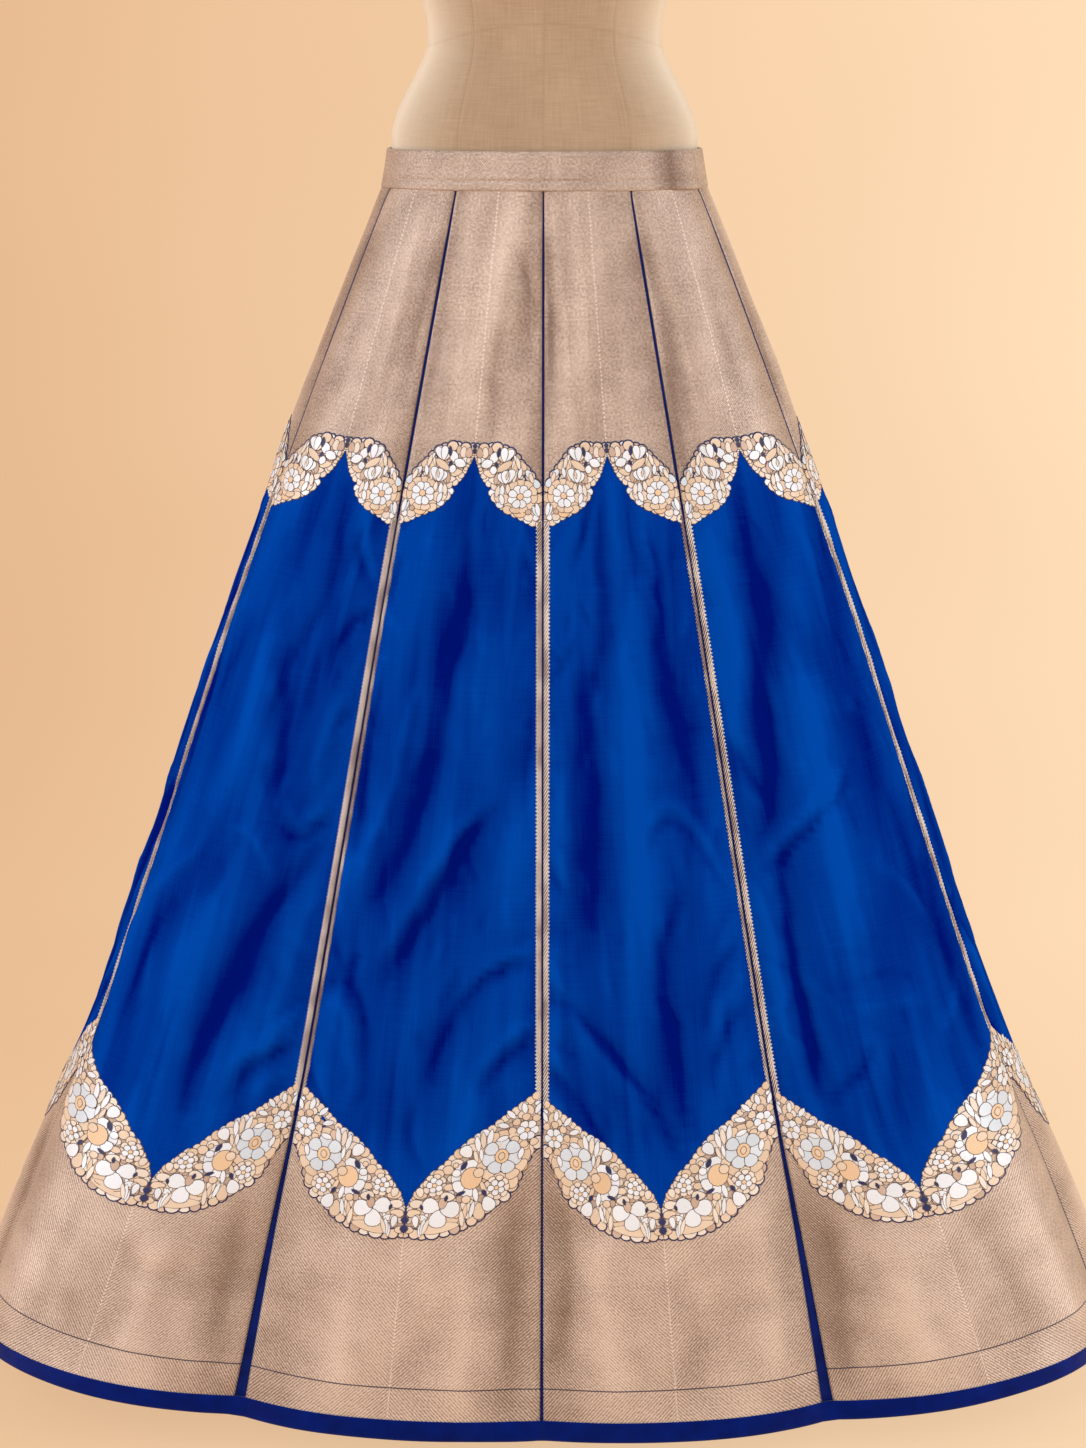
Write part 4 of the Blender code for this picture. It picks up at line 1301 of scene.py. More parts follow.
def metric(table, *columns):
    """The rows of a table with these of its columns in metres."""
    return [[value / TENTHS if column in columns else value for column, value in enumerate(row)]
            for row in table]


def along_edge(edge, count):
    """Evenly spaced points along an edge, in metres, with the heading of the edge at each."""
    edge = np.array(edge) / TENTHS
    length = np.concatenate(([0.0], np.cumsum(np.linalg.norm(np.diff(edge, axis=0), axis=1))))
    places = np.linspace(0.0, length[-1], count)
    points = np.stack([np.interp(places, length, column) for column in edge.T], axis=1)
    step = np.gradient(points, axis=0)
    return np.column_stack((points, np.degrees(np.arctan2(step[:, 1], step[:, 0]))))


def inside(outline_points, spots):
    """Which spots lie inside a closed outline."""
    x0, y0 = outline_points.T
    x1, y1 = np.roll(outline_points, -1, axis=0).T
    x, y = spots[:, :1], spots[:, 1:]
    crosses = (y0 > y) != (y1 > y)
    reach = (x1 - x0) * (y - y0) / np.where(y1 == y0, 1e-12, y1 - y0) + x0
    return np.count_nonzero(crosses & (x < reach), axis=1) % 2 == 1


def meet(first, second):
    """Whether two floats overlap, with the dark line round each."""
    reach = 0.5 * (np.ptp(first["outline"], axis=0).max() + np.ptp(second["outline"], axis=0).max())
    if np.linalg.norm(first["middle"] - second["middle"]) > reach + 2 * LINE_WIDTH:
        return False
    for one, other in ((first, second), (second, first)):
        grown = one["middle"] + (one["outline"] - one["middle"]) * (1 + 3 * LINE_WIDTH / one["size"])
        if inside(grown, other["outline"]).any():
            return True
    return False


def set_levels(floats):
    """Raises each float over those of a lower tier that it covers, and off its neighbours."""
    floats.sort(key=lambda one: one["tier"])
    for number, shape in enumerate(floats):
        met = [other for other in floats[:number] if meet(shape, other)]
        level = max([other["level"] + 1 for other in met if other["tier"] < shape["tier"]], default=1)
        while level in [other["level"] for other in met if other["tier"] == shape["tier"]]:
            level += 1
        shape["level"] = level
        for other in met:
            if other["level"] < level:
                other["bare"] = False
        shape["bare"] = True
    return floats


def fill_gaps(floats, zari_edge, blue_edge, sizes, dice):
    """Small leaves and beads wherever the larger shapes leave the ground bare."""
    drawn = [shape for shape in floats if shape["tier"] > 1 or shape["size"] < 0.012]
    zari, blue = along_edge(zari_edge, 200), along_edge(blue_edge, 200)
    ground = np.concatenate((zari[:, :2], blue[::-1, :2]))
    found = []
    for _ in range(GAP_FILLS):
        part, side = dice.integers(2, 198), dice.uniform(0.10, 0.90)
        spot = zari[part, :2] * (1 - side) + blue[part, :2] * side
        size = dice.uniform(*sizes)
        kind = ("disc", "lozenge", "petal", "petal")[dice.integers(4)]
        thread = ("white", "peach", "pale", "rose", "pale")[dice.integers(5)]
        length = size if kind == "disc" else FILL_LENGTH * size
        shape = new_float(kind, *spot, dice.uniform(0, 180), length, size, thread, 2)
        middle = np.array([shape["middle"]])
        if not inside(ground, shape["outline"]).all():
            continue
        if any(inside(other["outline"], shape["outline"]).mean() > MOST_COVERED
               or inside(other["outline"], middle)[0] for other in drawn):
            continue
        drawn.append(shape)
        found.append(shape)
    return found


def edge_discs(edge, turn, size_at, spacing, threads, line, dice):
    """A row of discs along an edge, lying inwards of it at this turn from its heading."""
    inset, apart, least = spacing
    discs = []
    next_out = 0.0
    for out, down, heading in along_edge(edge, EDGE_STEPS):
        if out < next_out:
            continue
        size = size_at(out)
        inwards = np.radians(heading + turn)
        discs.append(new_float(
            "disc", out + inset * size * np.cos(inwards), down + inset * size * np.sin(inwards), heading,
            size, DISC_SQUASH * size, threads[dice.integers(4)], EDGE_TIER, line))
        next_out = out + apart * size * max(abs(np.cos(np.radians(heading))), least)
    return discs


def draw_floats(rows, zari_edge, blue_edge, edge_sizes, fill_sizes, seed):
    """All the floats of one half scallop or crescent."""
    dice = np.random.default_rng(seed)
    side = np.sign(zari_edge[0][1] - blue_edge[0][1])

    def zari_size(out):
        return dice.uniform(*edge_sizes)

    def blue_size(out):
        return dice.uniform(*BLUE_DISC_SIZES) * np.clip(0.28 + out / 0.024, 0.0, 1.0)

    floats = edge_discs(zari_edge, -90 * side, zari_size, ZARI_DISCS, ("peach", "pale", "peach", "rose"),
                        "navy", dice)
    floats += edge_discs(blue_edge, 90 * side, blue_size, BLUE_DISCS, ("pale", "peach", "pale", "white"),
                         "line", dice)
    for kind, out, down, heading, length, width, thread, tier in rows:
        slip = dice.normal(0.0, 0.00012, 2)
        swing = dice.normal(0.0, 2.0)
        floats.append(new_float(kind, out + slip[0], down + slip[1], heading + swing,
                                length, width, thread, tier))
    return set_levels(floats + fill_gaps(floats, zari_edge, blue_edge, fill_sizes, dice))


def on_cloth(panel, across, fall, lift):
    """Points on a kali's cloth, raised along its normals."""
    rows = np.interp(fall, KALI_FALLS, np.arange(len(KALI_FALLS)))
    columns = np.interp(across, KALI_COLUMNS, np.arange(len(KALI_COLUMNS)))
    cloth = kalis[panel]
    return (bilinear(cloth["points"], rows, columns)
            + bilinear(cloth["normals"], rows, columns) * np.asarray(lift)[..., None])


class Drawing:
    """The flat drawing of a kali's flowers: points, faces, and the thread and satin of each shape."""

    def __init__(self):
        self.spots, self.lifts, self.faces, self.threads = [], [], [], []
        self.satin, self.bake, self.shapes = [], [], []
        self.count = 0
        self.shape_count = 0

    def add(self, spots, lifts, faces, threads, heading=0.0, level=0):
        """Takes in one shape, with its place on the satin and bake maps."""
        angle = np.radians(heading)
        out, down = spots.T
        self.spots.append(spots)
        self.lifts.append(lifts)
        self.faces += [[int(corner) + self.count for corner in face] for face in faces]
        self.threads += threads
        self.satin.append(np.column_stack((out * np.cos(angle) + down * np.sin(angle),
                                           down * np.cos(angle) - out * np.sin(angle))))
        row = np.where(down < 0.5, (down - 0.20) / 0.20, 0.5 + (down - 0.78) / 0.32)
        self.bake.append(np.column_stack(((min(level, 11) + 0.5 + out / 0.28) / 12, row)))
        self.shapes.append(np.full(len(spots), self.shape_count))
        self.count += len(spots)
        self.shape_count += 1

    def add_float(self, shape, mirrored):
        """One float with its dark rim, domed where nothing lies over it."""
        sign = -1.0 if mirrored else 1.0
        rim = shape["outline"] * (sign, 1.0)
        x, y = rim.T
        if np.sum(x * np.roll(y, -1) - np.roll(x, -1) * y) > 0:
            rim = rim[::-1]
        middle = rim.mean(axis=0)
        spokes = rim - middle
        edge = NAVY_LINE_WIDTH if shape["edge"] == "navy" else LINE_WIDTH
        wider = middle + spokes * (1 + edge / np.linalg.norm(spokes, axis=1, keepdims=True))
        low = GROUND_LIFT + LEVEL_LIFT * shape["level"]
        dome = min(DOME_SHARE * shape["size"], DOME_MOST) if shape["bare"] else 0.00004
        rings = [(wider, SUNK), (wider, low), (rim, low + 0.00003)]
        if shape["bare"] and shape["size"] > DOMED_FROM:
            rings.append((middle + 0.66 * spokes, low + 0.75 * dome))
        count = len(rim)
        spots = np.concatenate([ring for ring, _ in rings] + [middle[None]])
        lifts = np.concatenate([np.full(count, lift) for _, lift in rings] + [[low + dome]])
        here, after = np.arange(count), np.roll(np.arange(count), -1)
        line, thread = THREADS.index(shape["edge"]), THREADS.index(shape["thread"])
        faces, threads = [], []
        for ring, colour in enumerate((line, line, thread)[:len(rings) - 1]):
            low_ring, high_ring = ring * count, (ring + 1) * count
            faces += np.stack((here + low_ring, after + low_ring, after + high_ring, here + high_ring),
                              axis=1).tolist()
            threads += [colour] * count
        last = (len(rings) - 1) * count
        faces += [(first + last, second + last, last + count) for first, second in zip(here, after)]
        threads += [thread] * count
        heading = 180 - shape["heading"] if mirrored else shape["heading"]
        self.add(spots, lifts, faces, threads, heading, shape["level"])

    def add_ground(self, zari_edge, blue_edge, thread, mirrored):
        """The ground between two edges, its own borders sunk into the cloth."""
        sign = -1.0 if mirrored else 1.0
        shares = np.array(GROUND_SHARES)[None, :, None]
        first, second = along_edge(zari_edge, 40)[:, None, :2], along_edge(blue_edge, 40)[:, None, :2]
        grid = (first * (1 - shares) + second * shares) * (sign, 1.0)
        lifts = np.full(grid.shape[:2], GROUND_LIFT)
        lifts[:, [0, -1]] = SUNK
        faces = cells(np.arange(lifts.size).reshape(lifts.shape))
        if mirrored:
            faces = faces[:, ::-1]
        self.add(grid.reshape(-1, 2), lifts.ravel(), faces.tolist(), [THREADS.index(thread)] * len(faces))


def make_thread(name, light, dark, metallic, roughness):
    """Floats of soft thread laid side by side, no two shapes of quite the same shade."""
    material, tree, shader = new_finish(name, Metallic=metallic, Sheen_Weight=0.15, Sheen_Roughness=0.4)
    where = cloth_place(tree, "satin")
    strand = noise(tree, stretch(tree, where, (160.0, 2200.0, 1.0)))
    # Besides its strands and the shape's own tone, the thread takes the painted light and shade of the folds
    # beneath it.
    tone = add_up(
        tree, spread(tree, strand, 0.3, 0.7, -0.22, 0.22),
        spread(tree, value_named(tree, "tone"), -1.0, 1.0, 0.35, 0.90),
        reckon(tree, "MULTIPLY", value_named(tree, "lie"), 0.25))
    tree.links.new(tint(tree, tone, dark, light), shader.inputs["Base Color"])
    rough = spread(tree, strand, 0.3, 0.7, roughness + 0.08, roughness - 0.08)
    tree.links.new(rough, shader.inputs["Roughness"])
    emboss(tree, shader, strand, 0.00015)
    return material


def draw_flowers():
    """The flowers of one kali, both halves."""
    drawing = Drawing()
    scallop_rows, crescent_rows = metric(SCALLOP_FLOATS, 1, 2, 4, 5), metric(CRESCENT_FLOATS, 1, 2, 4, 5)
    for rows, rings in ((scallop_rows, SCALLOP_RINGS), (crescent_rows, CRESCENT_RINGS)):
        for ring in metric(rings, 0, 1, 3, 6, 7):
            rows += ringed(*ring)
    for sweep in metric(SWEEPS, 0, 1, 3, 7, 8):
        crescent_rows += swept(*sweep)
    floats = draw_floats(scallop_rows, SCALLOP_ZARI_EDGE, SCALLOP_BLUE_EDGE, *SCALLOP_SIZES, 21)
    floats += draw_floats(crescent_rows, CRESCENT_ZARI_EDGE, CRESCENT_BLUE_EDGE, *CRESCENT_SIZES, 22)
    for row in metric(CENTRE_FLOATS, 1, 2, 4, 5):
        floats.append({**new_float(*row), "level": CENTRE_LEVEL, "bare": True, "central": True})
    for mirrored in (False, True):
        drawing.add_ground(SCALLOP_ZARI_EDGE, SCALLOP_BLUE_EDGE, "rose", mirrored)
        drawing.add_ground(CRESCENT_ZARI_EDGE, CRESCENT_BLUE_EDGE, "ground", mirrored)
        for shape in floats:
            half = np.interp(shape["middle"][1] / SKIRT_LENGTH, KALI_FALLS, DESIGN_HALF_WIDTHS)
            if shape["middle"][0] < half * SEAM_CLEARANCE and not (mirrored and "central" in shape):
                drawing.add_float(shape, mirrored)
    return drawing


def add_flowers(panel):
    """The flowers laid on one kali's own folds."""
    dice = np.random.default_rng(200 + panel)
    out, down = np.concatenate(flower_drawing.spots).T
    across, fall = on_kali(panel, out, down)
    across = np.clip(across, -0.992, 0.992)
    points = on_cloth(panel, across, fall, np.concatenate(flower_drawing.lifts))
    tones = dice.uniform(-1, 1, flower_drawing.shape_count)[np.concatenate(flower_drawing.shapes)]
    rows = np.interp(fall, KALI_FALLS, np.arange(len(KALI_FALLS)))
    columns = np.interp(across, KALI_COLUMNS, np.arange(len(KALI_COLUMNS)))
    # The painted light and shade of the kali's folds, carried over to the flowers.
    lie = bilinear(kalis[panel]["lie"][..., None], rows, columns)[:, 0]
    corners = np.concatenate([np.asarray(face) for face in flower_drawing.faces])
    maps = {"OFBake": np.concatenate(flower_drawing.bake)[corners],
            "satin": np.concatenate(flower_drawing.satin)[corners]}
    piece = add_mesh(f"kali_{panel + 1}_flowers", points, flower_drawing.faces, thread_finishes,
                     flower_drawing.threads, maps=maps, values={"tone": tones, "lie": lie})
    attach(piece, "root")
    return piece


thread_finishes = (
    make_thread("ground_thread", (0.620, 0.460, 0.360), (0.420, 0.300, 0.220), 0.1, 0.5),
    make_thread("line_thread", (0.150, 0.090, 0.080), (0.090, 0.060, 0.065), 0.0, 0.6),
    make_thread("navy_outline_thread", (0.012, 0.018, 0.110), (0.006, 0.009, 0.060), 0.0, 0.5),
    make_thread("peach_thread", (0.880, 0.680, 0.520), (0.700, 0.500, 0.340), 0.1, 0.5),
    make_thread("pale_peach_thread", (0.920, 0.800, 0.700), (0.740, 0.580, 0.460), 0.1, 0.5),
    make_thread("apricot_thread", (0.920, 0.640, 0.400), (0.740, 0.470, 0.280), 0.1, 0.5),
    make_thread("rose_thread", (0.680, 0.480, 0.370), (0.480, 0.310, 0.220), 0.1, 0.5),
    make_thread("white_zari_thread", (0.920, 0.930, 0.980), (0.760, 0.770, 0.820), 0.1, 0.4),
    make_thread("silver_zari_thread", (0.800, 0.850, 0.930), (0.600, 0.650, 0.730), 0.1, 0.4),
)
flower_drawing = draw_flowers()
flower_pieces = [add_flowers(panel) for panel in range(PANEL_COUNT)]


# ------------------------------------------------------------------------------------------------
# Edge bands. Woven along both selvedges of a kali, from its scallops to its crescents: a rope of
# rose-gold and cream floats with a toothed edge against the blue.

BAND_TOP = 0.2840
BAND_FOOT = 0.8060
TOOTH_PITCH = 0.0034
TOOTH_REACH = 0.0019
# Points across a band, as distances from the seam and heights above the cloth. Its two last points
# reach out and in again as teeth.
BAND_WIDTHS = (0.0001, 0.0005, 0.0017, 0.0031, 0.0042, 0.0044)
BAND_LIFTS = (-0.0003, 0.0005, 0.0008, 0.0007, 0.0005, -0.0003)
TOOTHED_FROM = 0.0040
# Of the two bands at a seam, the one nearer the front centre is turned from the light: it is darker
# and shows narrower.
TURNED_SHARE = 0.66
TURNED_SHADE = -0.30
FACING_SHADE = 0.06
ROPE_SLOPE = 1.7
# The rope's colours, which carry its painted highlight and painted shade as well as its uneven patches.
ROPE_LIGHT = (1.000, 0.880, 0.780)
ROPE_DARK = (0.190, 0.110, 0.110)


def make_rope_thread():
    """Steep floats painted cream as highlight, and pinkish brown as shade between them and beside the seam.
    """
    material, tree, shader = new_finish("rope_thread", Metallic=0.25, Sheen_Weight=0.1, Sheen_Roughness=0.4)
    where = cloth_place(tree, "rope")
    axes = place(tree, "ShaderNodeSeparateXYZ", {0: where}).outputs
    climb = reckon(tree, "MULTIPLY_ADD", axes[0], ROPE_SLOPE, axes[1])
    climb = reckon(tree, "MULTIPLY_ADD", noise(tree, where, 300.0), 0.0012, climb)
    wave = reckon(tree, "SINE", reckon(tree, "MULTIPLY", climb, 2 * np.pi / TOOTH_PITCH))
    inset = value_named(tree, "inset")
    # Painted shade in the grooves between strokes, in the folds, on the band turned from the light and
    # beside the seam; the outer edge and its teeth are made paler.
    tone = add_up(
        tree, spread(tree, wave, -0.6, 0.3, -0.62, 0.30),
        spread(tree, noise(tree, where, 26.0, 3.0), 0.38, 0.62, 0.22, 1.0),
        reckon(tree, "MULTIPLY", value_named(tree, "lie"), 0.15), value_named(tree, "turned"),
        spread(tree, inset, 0.0003, 0.0018, -0.36, 0.0),
        spread(tree, inset, 0.0034, 0.0056, 0.0, 0.75))
    tree.links.new(tint(tree, tone, ROPE_DARK, ROPE_LIGHT), shader.inputs["Base Color"])
    emboss(tree, shader, wave, 0.0005)
    return material


def add_edge_bands(panel):
    """The two bands of one kali, laid on its cloth."""
    widths, lifts = np.array(BAND_WIDTHS), np.array(BAND_LIFTS)
    points, faces, maps, ropes, ties, shades = [], [], [], [], [], []
    for side in (-1, 1):
        ends = [on_kali(panel, side * 0.2, end)[1] for end in (BAND_TOP, BAND_FOOT)]
        falls = np.arange(*ends, 0.5 * TOOTH_PITCH / SKIRT_LENGTH)
        half_widths = np.interp(falls, KALI_FALLS, kalis[panel]["half_widths"])[:, None]
        tooth = np.where(np.arange(len(falls)) % 2 == 0, TOOTH_REACH, 0.0)[:, None]
        turned = (side > 0) == (panel < PANEL_COUNT // 2)
        inset = (widths[None, :] + tooth * (widths > TOOTHED_FROM)) * (TURNED_SHARE if turned else 1.0)
        across = side * (1 - inset / half_widths)
        order = slice(None) if side < 0 else slice(None, None, -1)
        across, reach = across[:, order], inset[:, order]
        fall = np.repeat(falls[:, None], len(widths), axis=1)
        lift = np.repeat(lifts[None, order], len(falls), axis=0)
        grid = on_cloth(panel, across, fall, lift)
        index = sum(len(block) for block in points) + np.arange(across.size).reshape(across.shape)
        points.append(grid.reshape(-1, 3))
        faces.append(cells(index, along_rows=False))
        ropes.append(np.column_stack(((across * half_widths).ravel(), (fall * SKIRT_LENGTH).ravel())))
        ties.append(reach.ravel())
        shades.append(np.full(reach.size, TURNED_SHADE if turned else FACING_SHADE))
        spread_u = 0.25 + 0.5 * (side > 0) + side * 0.22 * (reach / 0.009 - 0.5)
        maps.append(np.column_stack((spread_u.ravel(), ((fall - falls[0]) / np.ptp(falls)).ravel())))
    faces = np.concatenate(faces)
    # The painted light and shade of the kali's cloth next to each seam, carried over to its band.
    rows = np.interp(np.concatenate(ropes)[:, 1] / SKIRT_LENGTH, KALI_FALLS, np.arange(len(KALI_FALLS)))
    columns = np.where(np.concatenate(ropes)[:, 0] < 0, 2.0, len(KALI_COLUMNS) - 3.0)
    lie = bilinear(kalis[panel]["lie"][..., None], rows, columns)[:, 0]
    piece = add_mesh(f"kali_{panel + 1}_edge_bands", np.concatenate(points), faces, [rope_thread],
                     maps={"OFBake": np.concatenate(maps)[faces].reshape(-1, 2),
                           "rope": np.concatenate(ropes)[faces].reshape(-1, 2)},
                     values={"lie": lie, "inset": np.concatenate(ties), "turned": np.concatenate(shades)})
    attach(piece, "root")
    return piece


rope_thread = make_rope_thread()
band_pieces = [add_edge_bands(panel) for panel in range(PANEL_COUNT)]


# ------------------------------------------------------------------------------------------------
# Seam pipings. Navy silk let into each seam: a fine cord between the kalis, which opens below the
# crescents into a narrow gusset. Its edges are sewn under those of the kalis.

PIPING_THICKNESS = 0.0006
PIPING_TUCK = 0.0046
PIPING_BEND = 0.0008
PIPING_UNDER = 0.0019
CORD_RISE = 0.0004
CORD_EDGE_SINK = 0.0010
GUSSET_EDGE_SINK = 0.0012
GUSSET_SINK = 0.0030
GUSSET_FROM = 0.0050
GUSSET_TO = 0.0140
PIPING_SHARES = (0.0, 0.16, 0.5, 0.84, 1.0)


def make_navy_silk(name, map_name, light, dark):
    """Navy silk of a slightly worn, uneven tone."""
    material, tree, shader = new_finish(
        name, Sheen_Weight=0.1, Sheen_Roughness=0.4, Specular_IOR_Level=0.3,
        Specular_Tint=(0.05, 0.12, 1.0, 1.0), Roughness=0.5)
    where = cloth_place(tree, map_name)
    weave = use_effect(tree, plain_weave, {"Place": where, "Thread Width": 0.0005, "Slub Length": 0.030})
    tone = add_up(
        tree, spread(tree, noise(tree, where, 45.0, 4.0), 0.3, 0.7, 0.15, 0.85),
        spread(tree, weave["Tone"], 0.2, 0.8, -0.1, 0.1))
    tree.links.new(tint(tree, tone, dark, light), shader.inputs["Base Color"])
    emboss(tree, shader, weave["Height"], 0.00012)
    return material


def cut_area(widths):
    """Flat area of a strip as long as a kali, from its width at each row."""
    return float(SKIRT_LENGTH * np.sum((widths[1:] + widths[:-1]) / 2 * np.diff(KALI_FALLS)))


def add_seam_piping(seam):
    """A strip between the facing edges of two kalis."""
    left, right = kalis[(seam - 1) % PANEL_COUNT], kalis[seam % PANEL_COUNT]
    start, end = left["points"][:, -1], right["points"][:, 0]
    rise_start, rise_end = left["normals"][:, -2], right["normals"][:, 1]
    gap = np.linalg.norm(end - start, axis=1, keepdims=True)
    over = (end - start) / gap
    width = gap[:, 0]
    opened = np.clip((width - GUSSET_FROM) / (GUSSET_TO - GUSSET_FROM), 0.0, 1.0)
    columns = [start - over * tuck - rise_start * PIPING_UNDER for tuck in (PIPING_TUCK, PIPING_BEND)]
    for share in PIPING_SHARES:
        rise = rise_start * (1 - share) + rise_end * share
        bulge = 4 * share * (1 - share)
        height_here = (1 - opened) * (CORD_RISE * bulge - CORD_EDGE_SINK * (1 - bulge))
        height_here -= opened * (GUSSET_EDGE_SINK + GUSSET_SINK * bulge)
        columns.append(start * (1 - share) + end * share + rise * height_here[:, None])
    columns += [end + over * tuck - rise_end * PIPING_UNDER for tuck in (PIPING_BEND, PIPING_TUCK)]
    grid = np.stack(columns, axis=1)
    points, faces, bake = shell(grid, PIPING_THICKNESS)
    down = np.repeat(KALI_FALLS * SKIRT_LENGTH, grid.shape[1])
    out = np.tile(np.linspace(0.0, 0.02, grid.shape[1]), len(KALI_FALLS))
    place_on = np.tile(np.column_stack((out, down)), (2, 1))
    piece = add_mesh(f"seam_{seam + 1}_piping", points, faces, [piping_silk],
                     maps={"OFBake": bake, "strip": place_on[faces].reshape(-1, 2)})
    cut = width + 2 * PIPING_TUCK
    length = SKIRT_LENGTH * np.ptp(KALI_FALLS)
    area = cut_area(cut)
    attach(piece, "root")
    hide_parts(f"seam_piping_{seam + 1}")
    return piece, (cut.max(), length, area)


piping_silk = make_navy_silk("navy_piping_silk", "strip", (0.006, 0.016, 0.150), (0.003, 0.006, 0.050))
pipings = [add_seam_piping(seam) for seam in range(PANEL_COUNT)]


# ------------------------------------------------------------------------------------------------
# Hem binding. A straight strip of navy silk folded over the raw lower edges of all ten kalis, and
# machined through; it draws the hem in a little between its stitches.

BINDING_TOP = 0.983
BINDING_NARROWS = 0.0060
BINDING_PROUD = 0.0007
BINDING_PUCKER = 0.0003
PUCKER_WAVES = (190.0, 260.0, 410.0)
HEM_REACH = 1.0


def wrap(rings, closed):
    """Points, faces and a bake map of a tube through rings of points, its ends capped where it is open."""
    count, around = rings.shape[:2]
    index = np.arange(count * around).reshape(count, around)
    index = np.column_stack((index, index[:, 0]))
    if closed:
        index = np.vstack((index, index[0]))
    across, over = np.meshgrid(np.linspace(0.02, 1.0, index.shape[0]), np.linspace(0.0, 1.0, index.shape[1]),
                               indexing="ij")
    faces = cells(index).tolist()
    maps = [cells(np.stack((across, over), axis=-1)).reshape(-1, 2)]
    if not closed:
        turn = np.linspace(0, 2 * np.pi, around, endpoint=False)
        round_cap = np.column_stack((0.008 + 0.006 * np.cos(turn), 0.25 + 0.2 * np.sin(turn)))
        faces.append(list(reversed(range(around))))
        faces.append(list(range((count - 1) * around, count * around)))
        maps += [round_cap[::-1], round_cap + (0.0, 0.5)]
    return rings.reshape(-1, 3), faces, np.concatenate(maps)


def hem_row(fall):
    """The cloth's points all round at one fall, run on in a straight line below the kalis' own edge."""
    inner = np.array([KALI_FALLS[-6], KALI_FALLS[-1]])
    rows = [np.concatenate([kali["points"][row, 1:-1] for kali in kalis]) for row in (-6, -1)]
    share = (fall - inner[0]) / (inner[1] - inner[0])
    return rows[0] * (1 - share) + rows[1] * share


def add_hem_binding():
    """The strip folded round the hem, narrower towards both sides."""
    foot = hem_row(HEM_REACH)
    sideways = np.abs(foot[:, :1]) / np.abs(foot[:, 0]).max()
    top = hem_row(BINDING_TOP + BINDING_NARROWS * sideways ** 3)
    across = np.roll(foot, -1, axis=0) - np.roll(foot, 1, axis=0)
    outward = np.cross(foot - top, across)
    outward /= np.linalg.norm(outward, axis=1, keepdims=True)
    along = np.cumsum(np.linalg.norm(foot - np.roll(foot, 1, axis=0), axis=1))
    dice = np.random.default_rng(5)
    pucker = sum(np.sin(along * waves + dice.uniform(0, 6)) for waves in PUCKER_WAVES) / len(PUCKER_WAVES)
    profile = ((0.02, BINDING_PROUD - 0.0010), (0.0, BINDING_PROUD), (0.06, BINDING_PROUD + 0.0003),
               (0.30, BINDING_PROUD + 0.0002), (0.60, BINDING_PROUD), (0.88, BINDING_PROUD + 0.0002),
               (0.97, BINDING_PROUD - 0.0004), (1.0, -0.0007), (0.97, -0.0024), (0.88, -0.0028),
               (0.50, -0.0026), (0.06, -0.0026), (0.0, -0.0024), (0.02, -0.0015))
    rings = np.stack([
        top * (1 - share) + foot * share
        + outward * (lift + BINDING_PUCKER * np.sin(np.pi * share) * pucker * (lift > 0))[:, None]
        if lift > 0 else top * (1 - share) + foot * share + outward * lift
        for share, lift in profile], axis=1)
    points, faces, bake = wrap(rings, True)
    run = np.stack([np.column_stack((along, np.full(len(along), 0.02 * share)))
                    for share, _ in profile], axis=1)
    place_on = run.reshape(-1, 2)
    corners = np.concatenate([np.asarray(face) for face in faces])
    piece = add_mesh("hem_binding_silk", points, faces, [binding_silk],
                     maps={"OFBake": bake, "strip": place_on[corners]})
    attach(piece, "root")
    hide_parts("hem_binding")


binding_silk = make_navy_silk("navy_binding_silk", "strip", (0.001, 0.012, 0.170), (0.001, 0.005, 0.075))
add_hem_binding()


# ------------------------------------------------------------------------------------------------
# Waistband. A folded strip of the zari, stiffened, that closes at the wearer's left: its end laps
# over its beginning. A row of stitches runs just above the seam that takes the kalis.

BAND_HEIGHT = 0.0335
BAND_THICKNESS = 0.0024
BAND_TOP_HALF_WIDTH = 0.1401
BAND_TOP_HALF_DEPTH = 0.0917
BAND_END_SHARE = 0.193
BAND_LAP_SHARE = 0.032
BAND_RAMP_SHARE = 0.014
BAND_STEPS = 420
# The shade painted beside the lap where it overlaps: its place and half width round the waist, and its depth
# of tone.
LAP_SHADE_SHARE = 0.150
LAP_SHADE_SPAN = 0.018
LAP_SHADE = -1.3
SETTLE = 0.0005
SETTLE_WAVES = (31.0, 57.0, 88.0, 140.0)
# Where the strip's map starts along the zari, so that the kalis' dotted line is not on it.
WAISTBAND_MAP_START = 3.0
# Points round the folded strip, as (share of its height, out from its face): down the outside,
# with the dent of the stitches, and back up the inside.
BAND_PROFILE = (
    (1.000, -0.0008), (0.995, -0.0001), (0.975, 0.0004), (0.90, 0.0005), (0.75, 0.0004), (0.55, 0.0003),
    (0.35, 0.0004), (0.27, 0.0006), (0.245, 0.0000), (0.22, 0.0006), (0.15, 0.0006), (0.05, 0.0007),
    (0.000, 0.0006), (-0.015, -0.0002), (0.000, -0.0016), (0.30, -0.0022), (0.70, -0.0022), (0.97, -0.0022),
    (0.995, -0.0016),
)


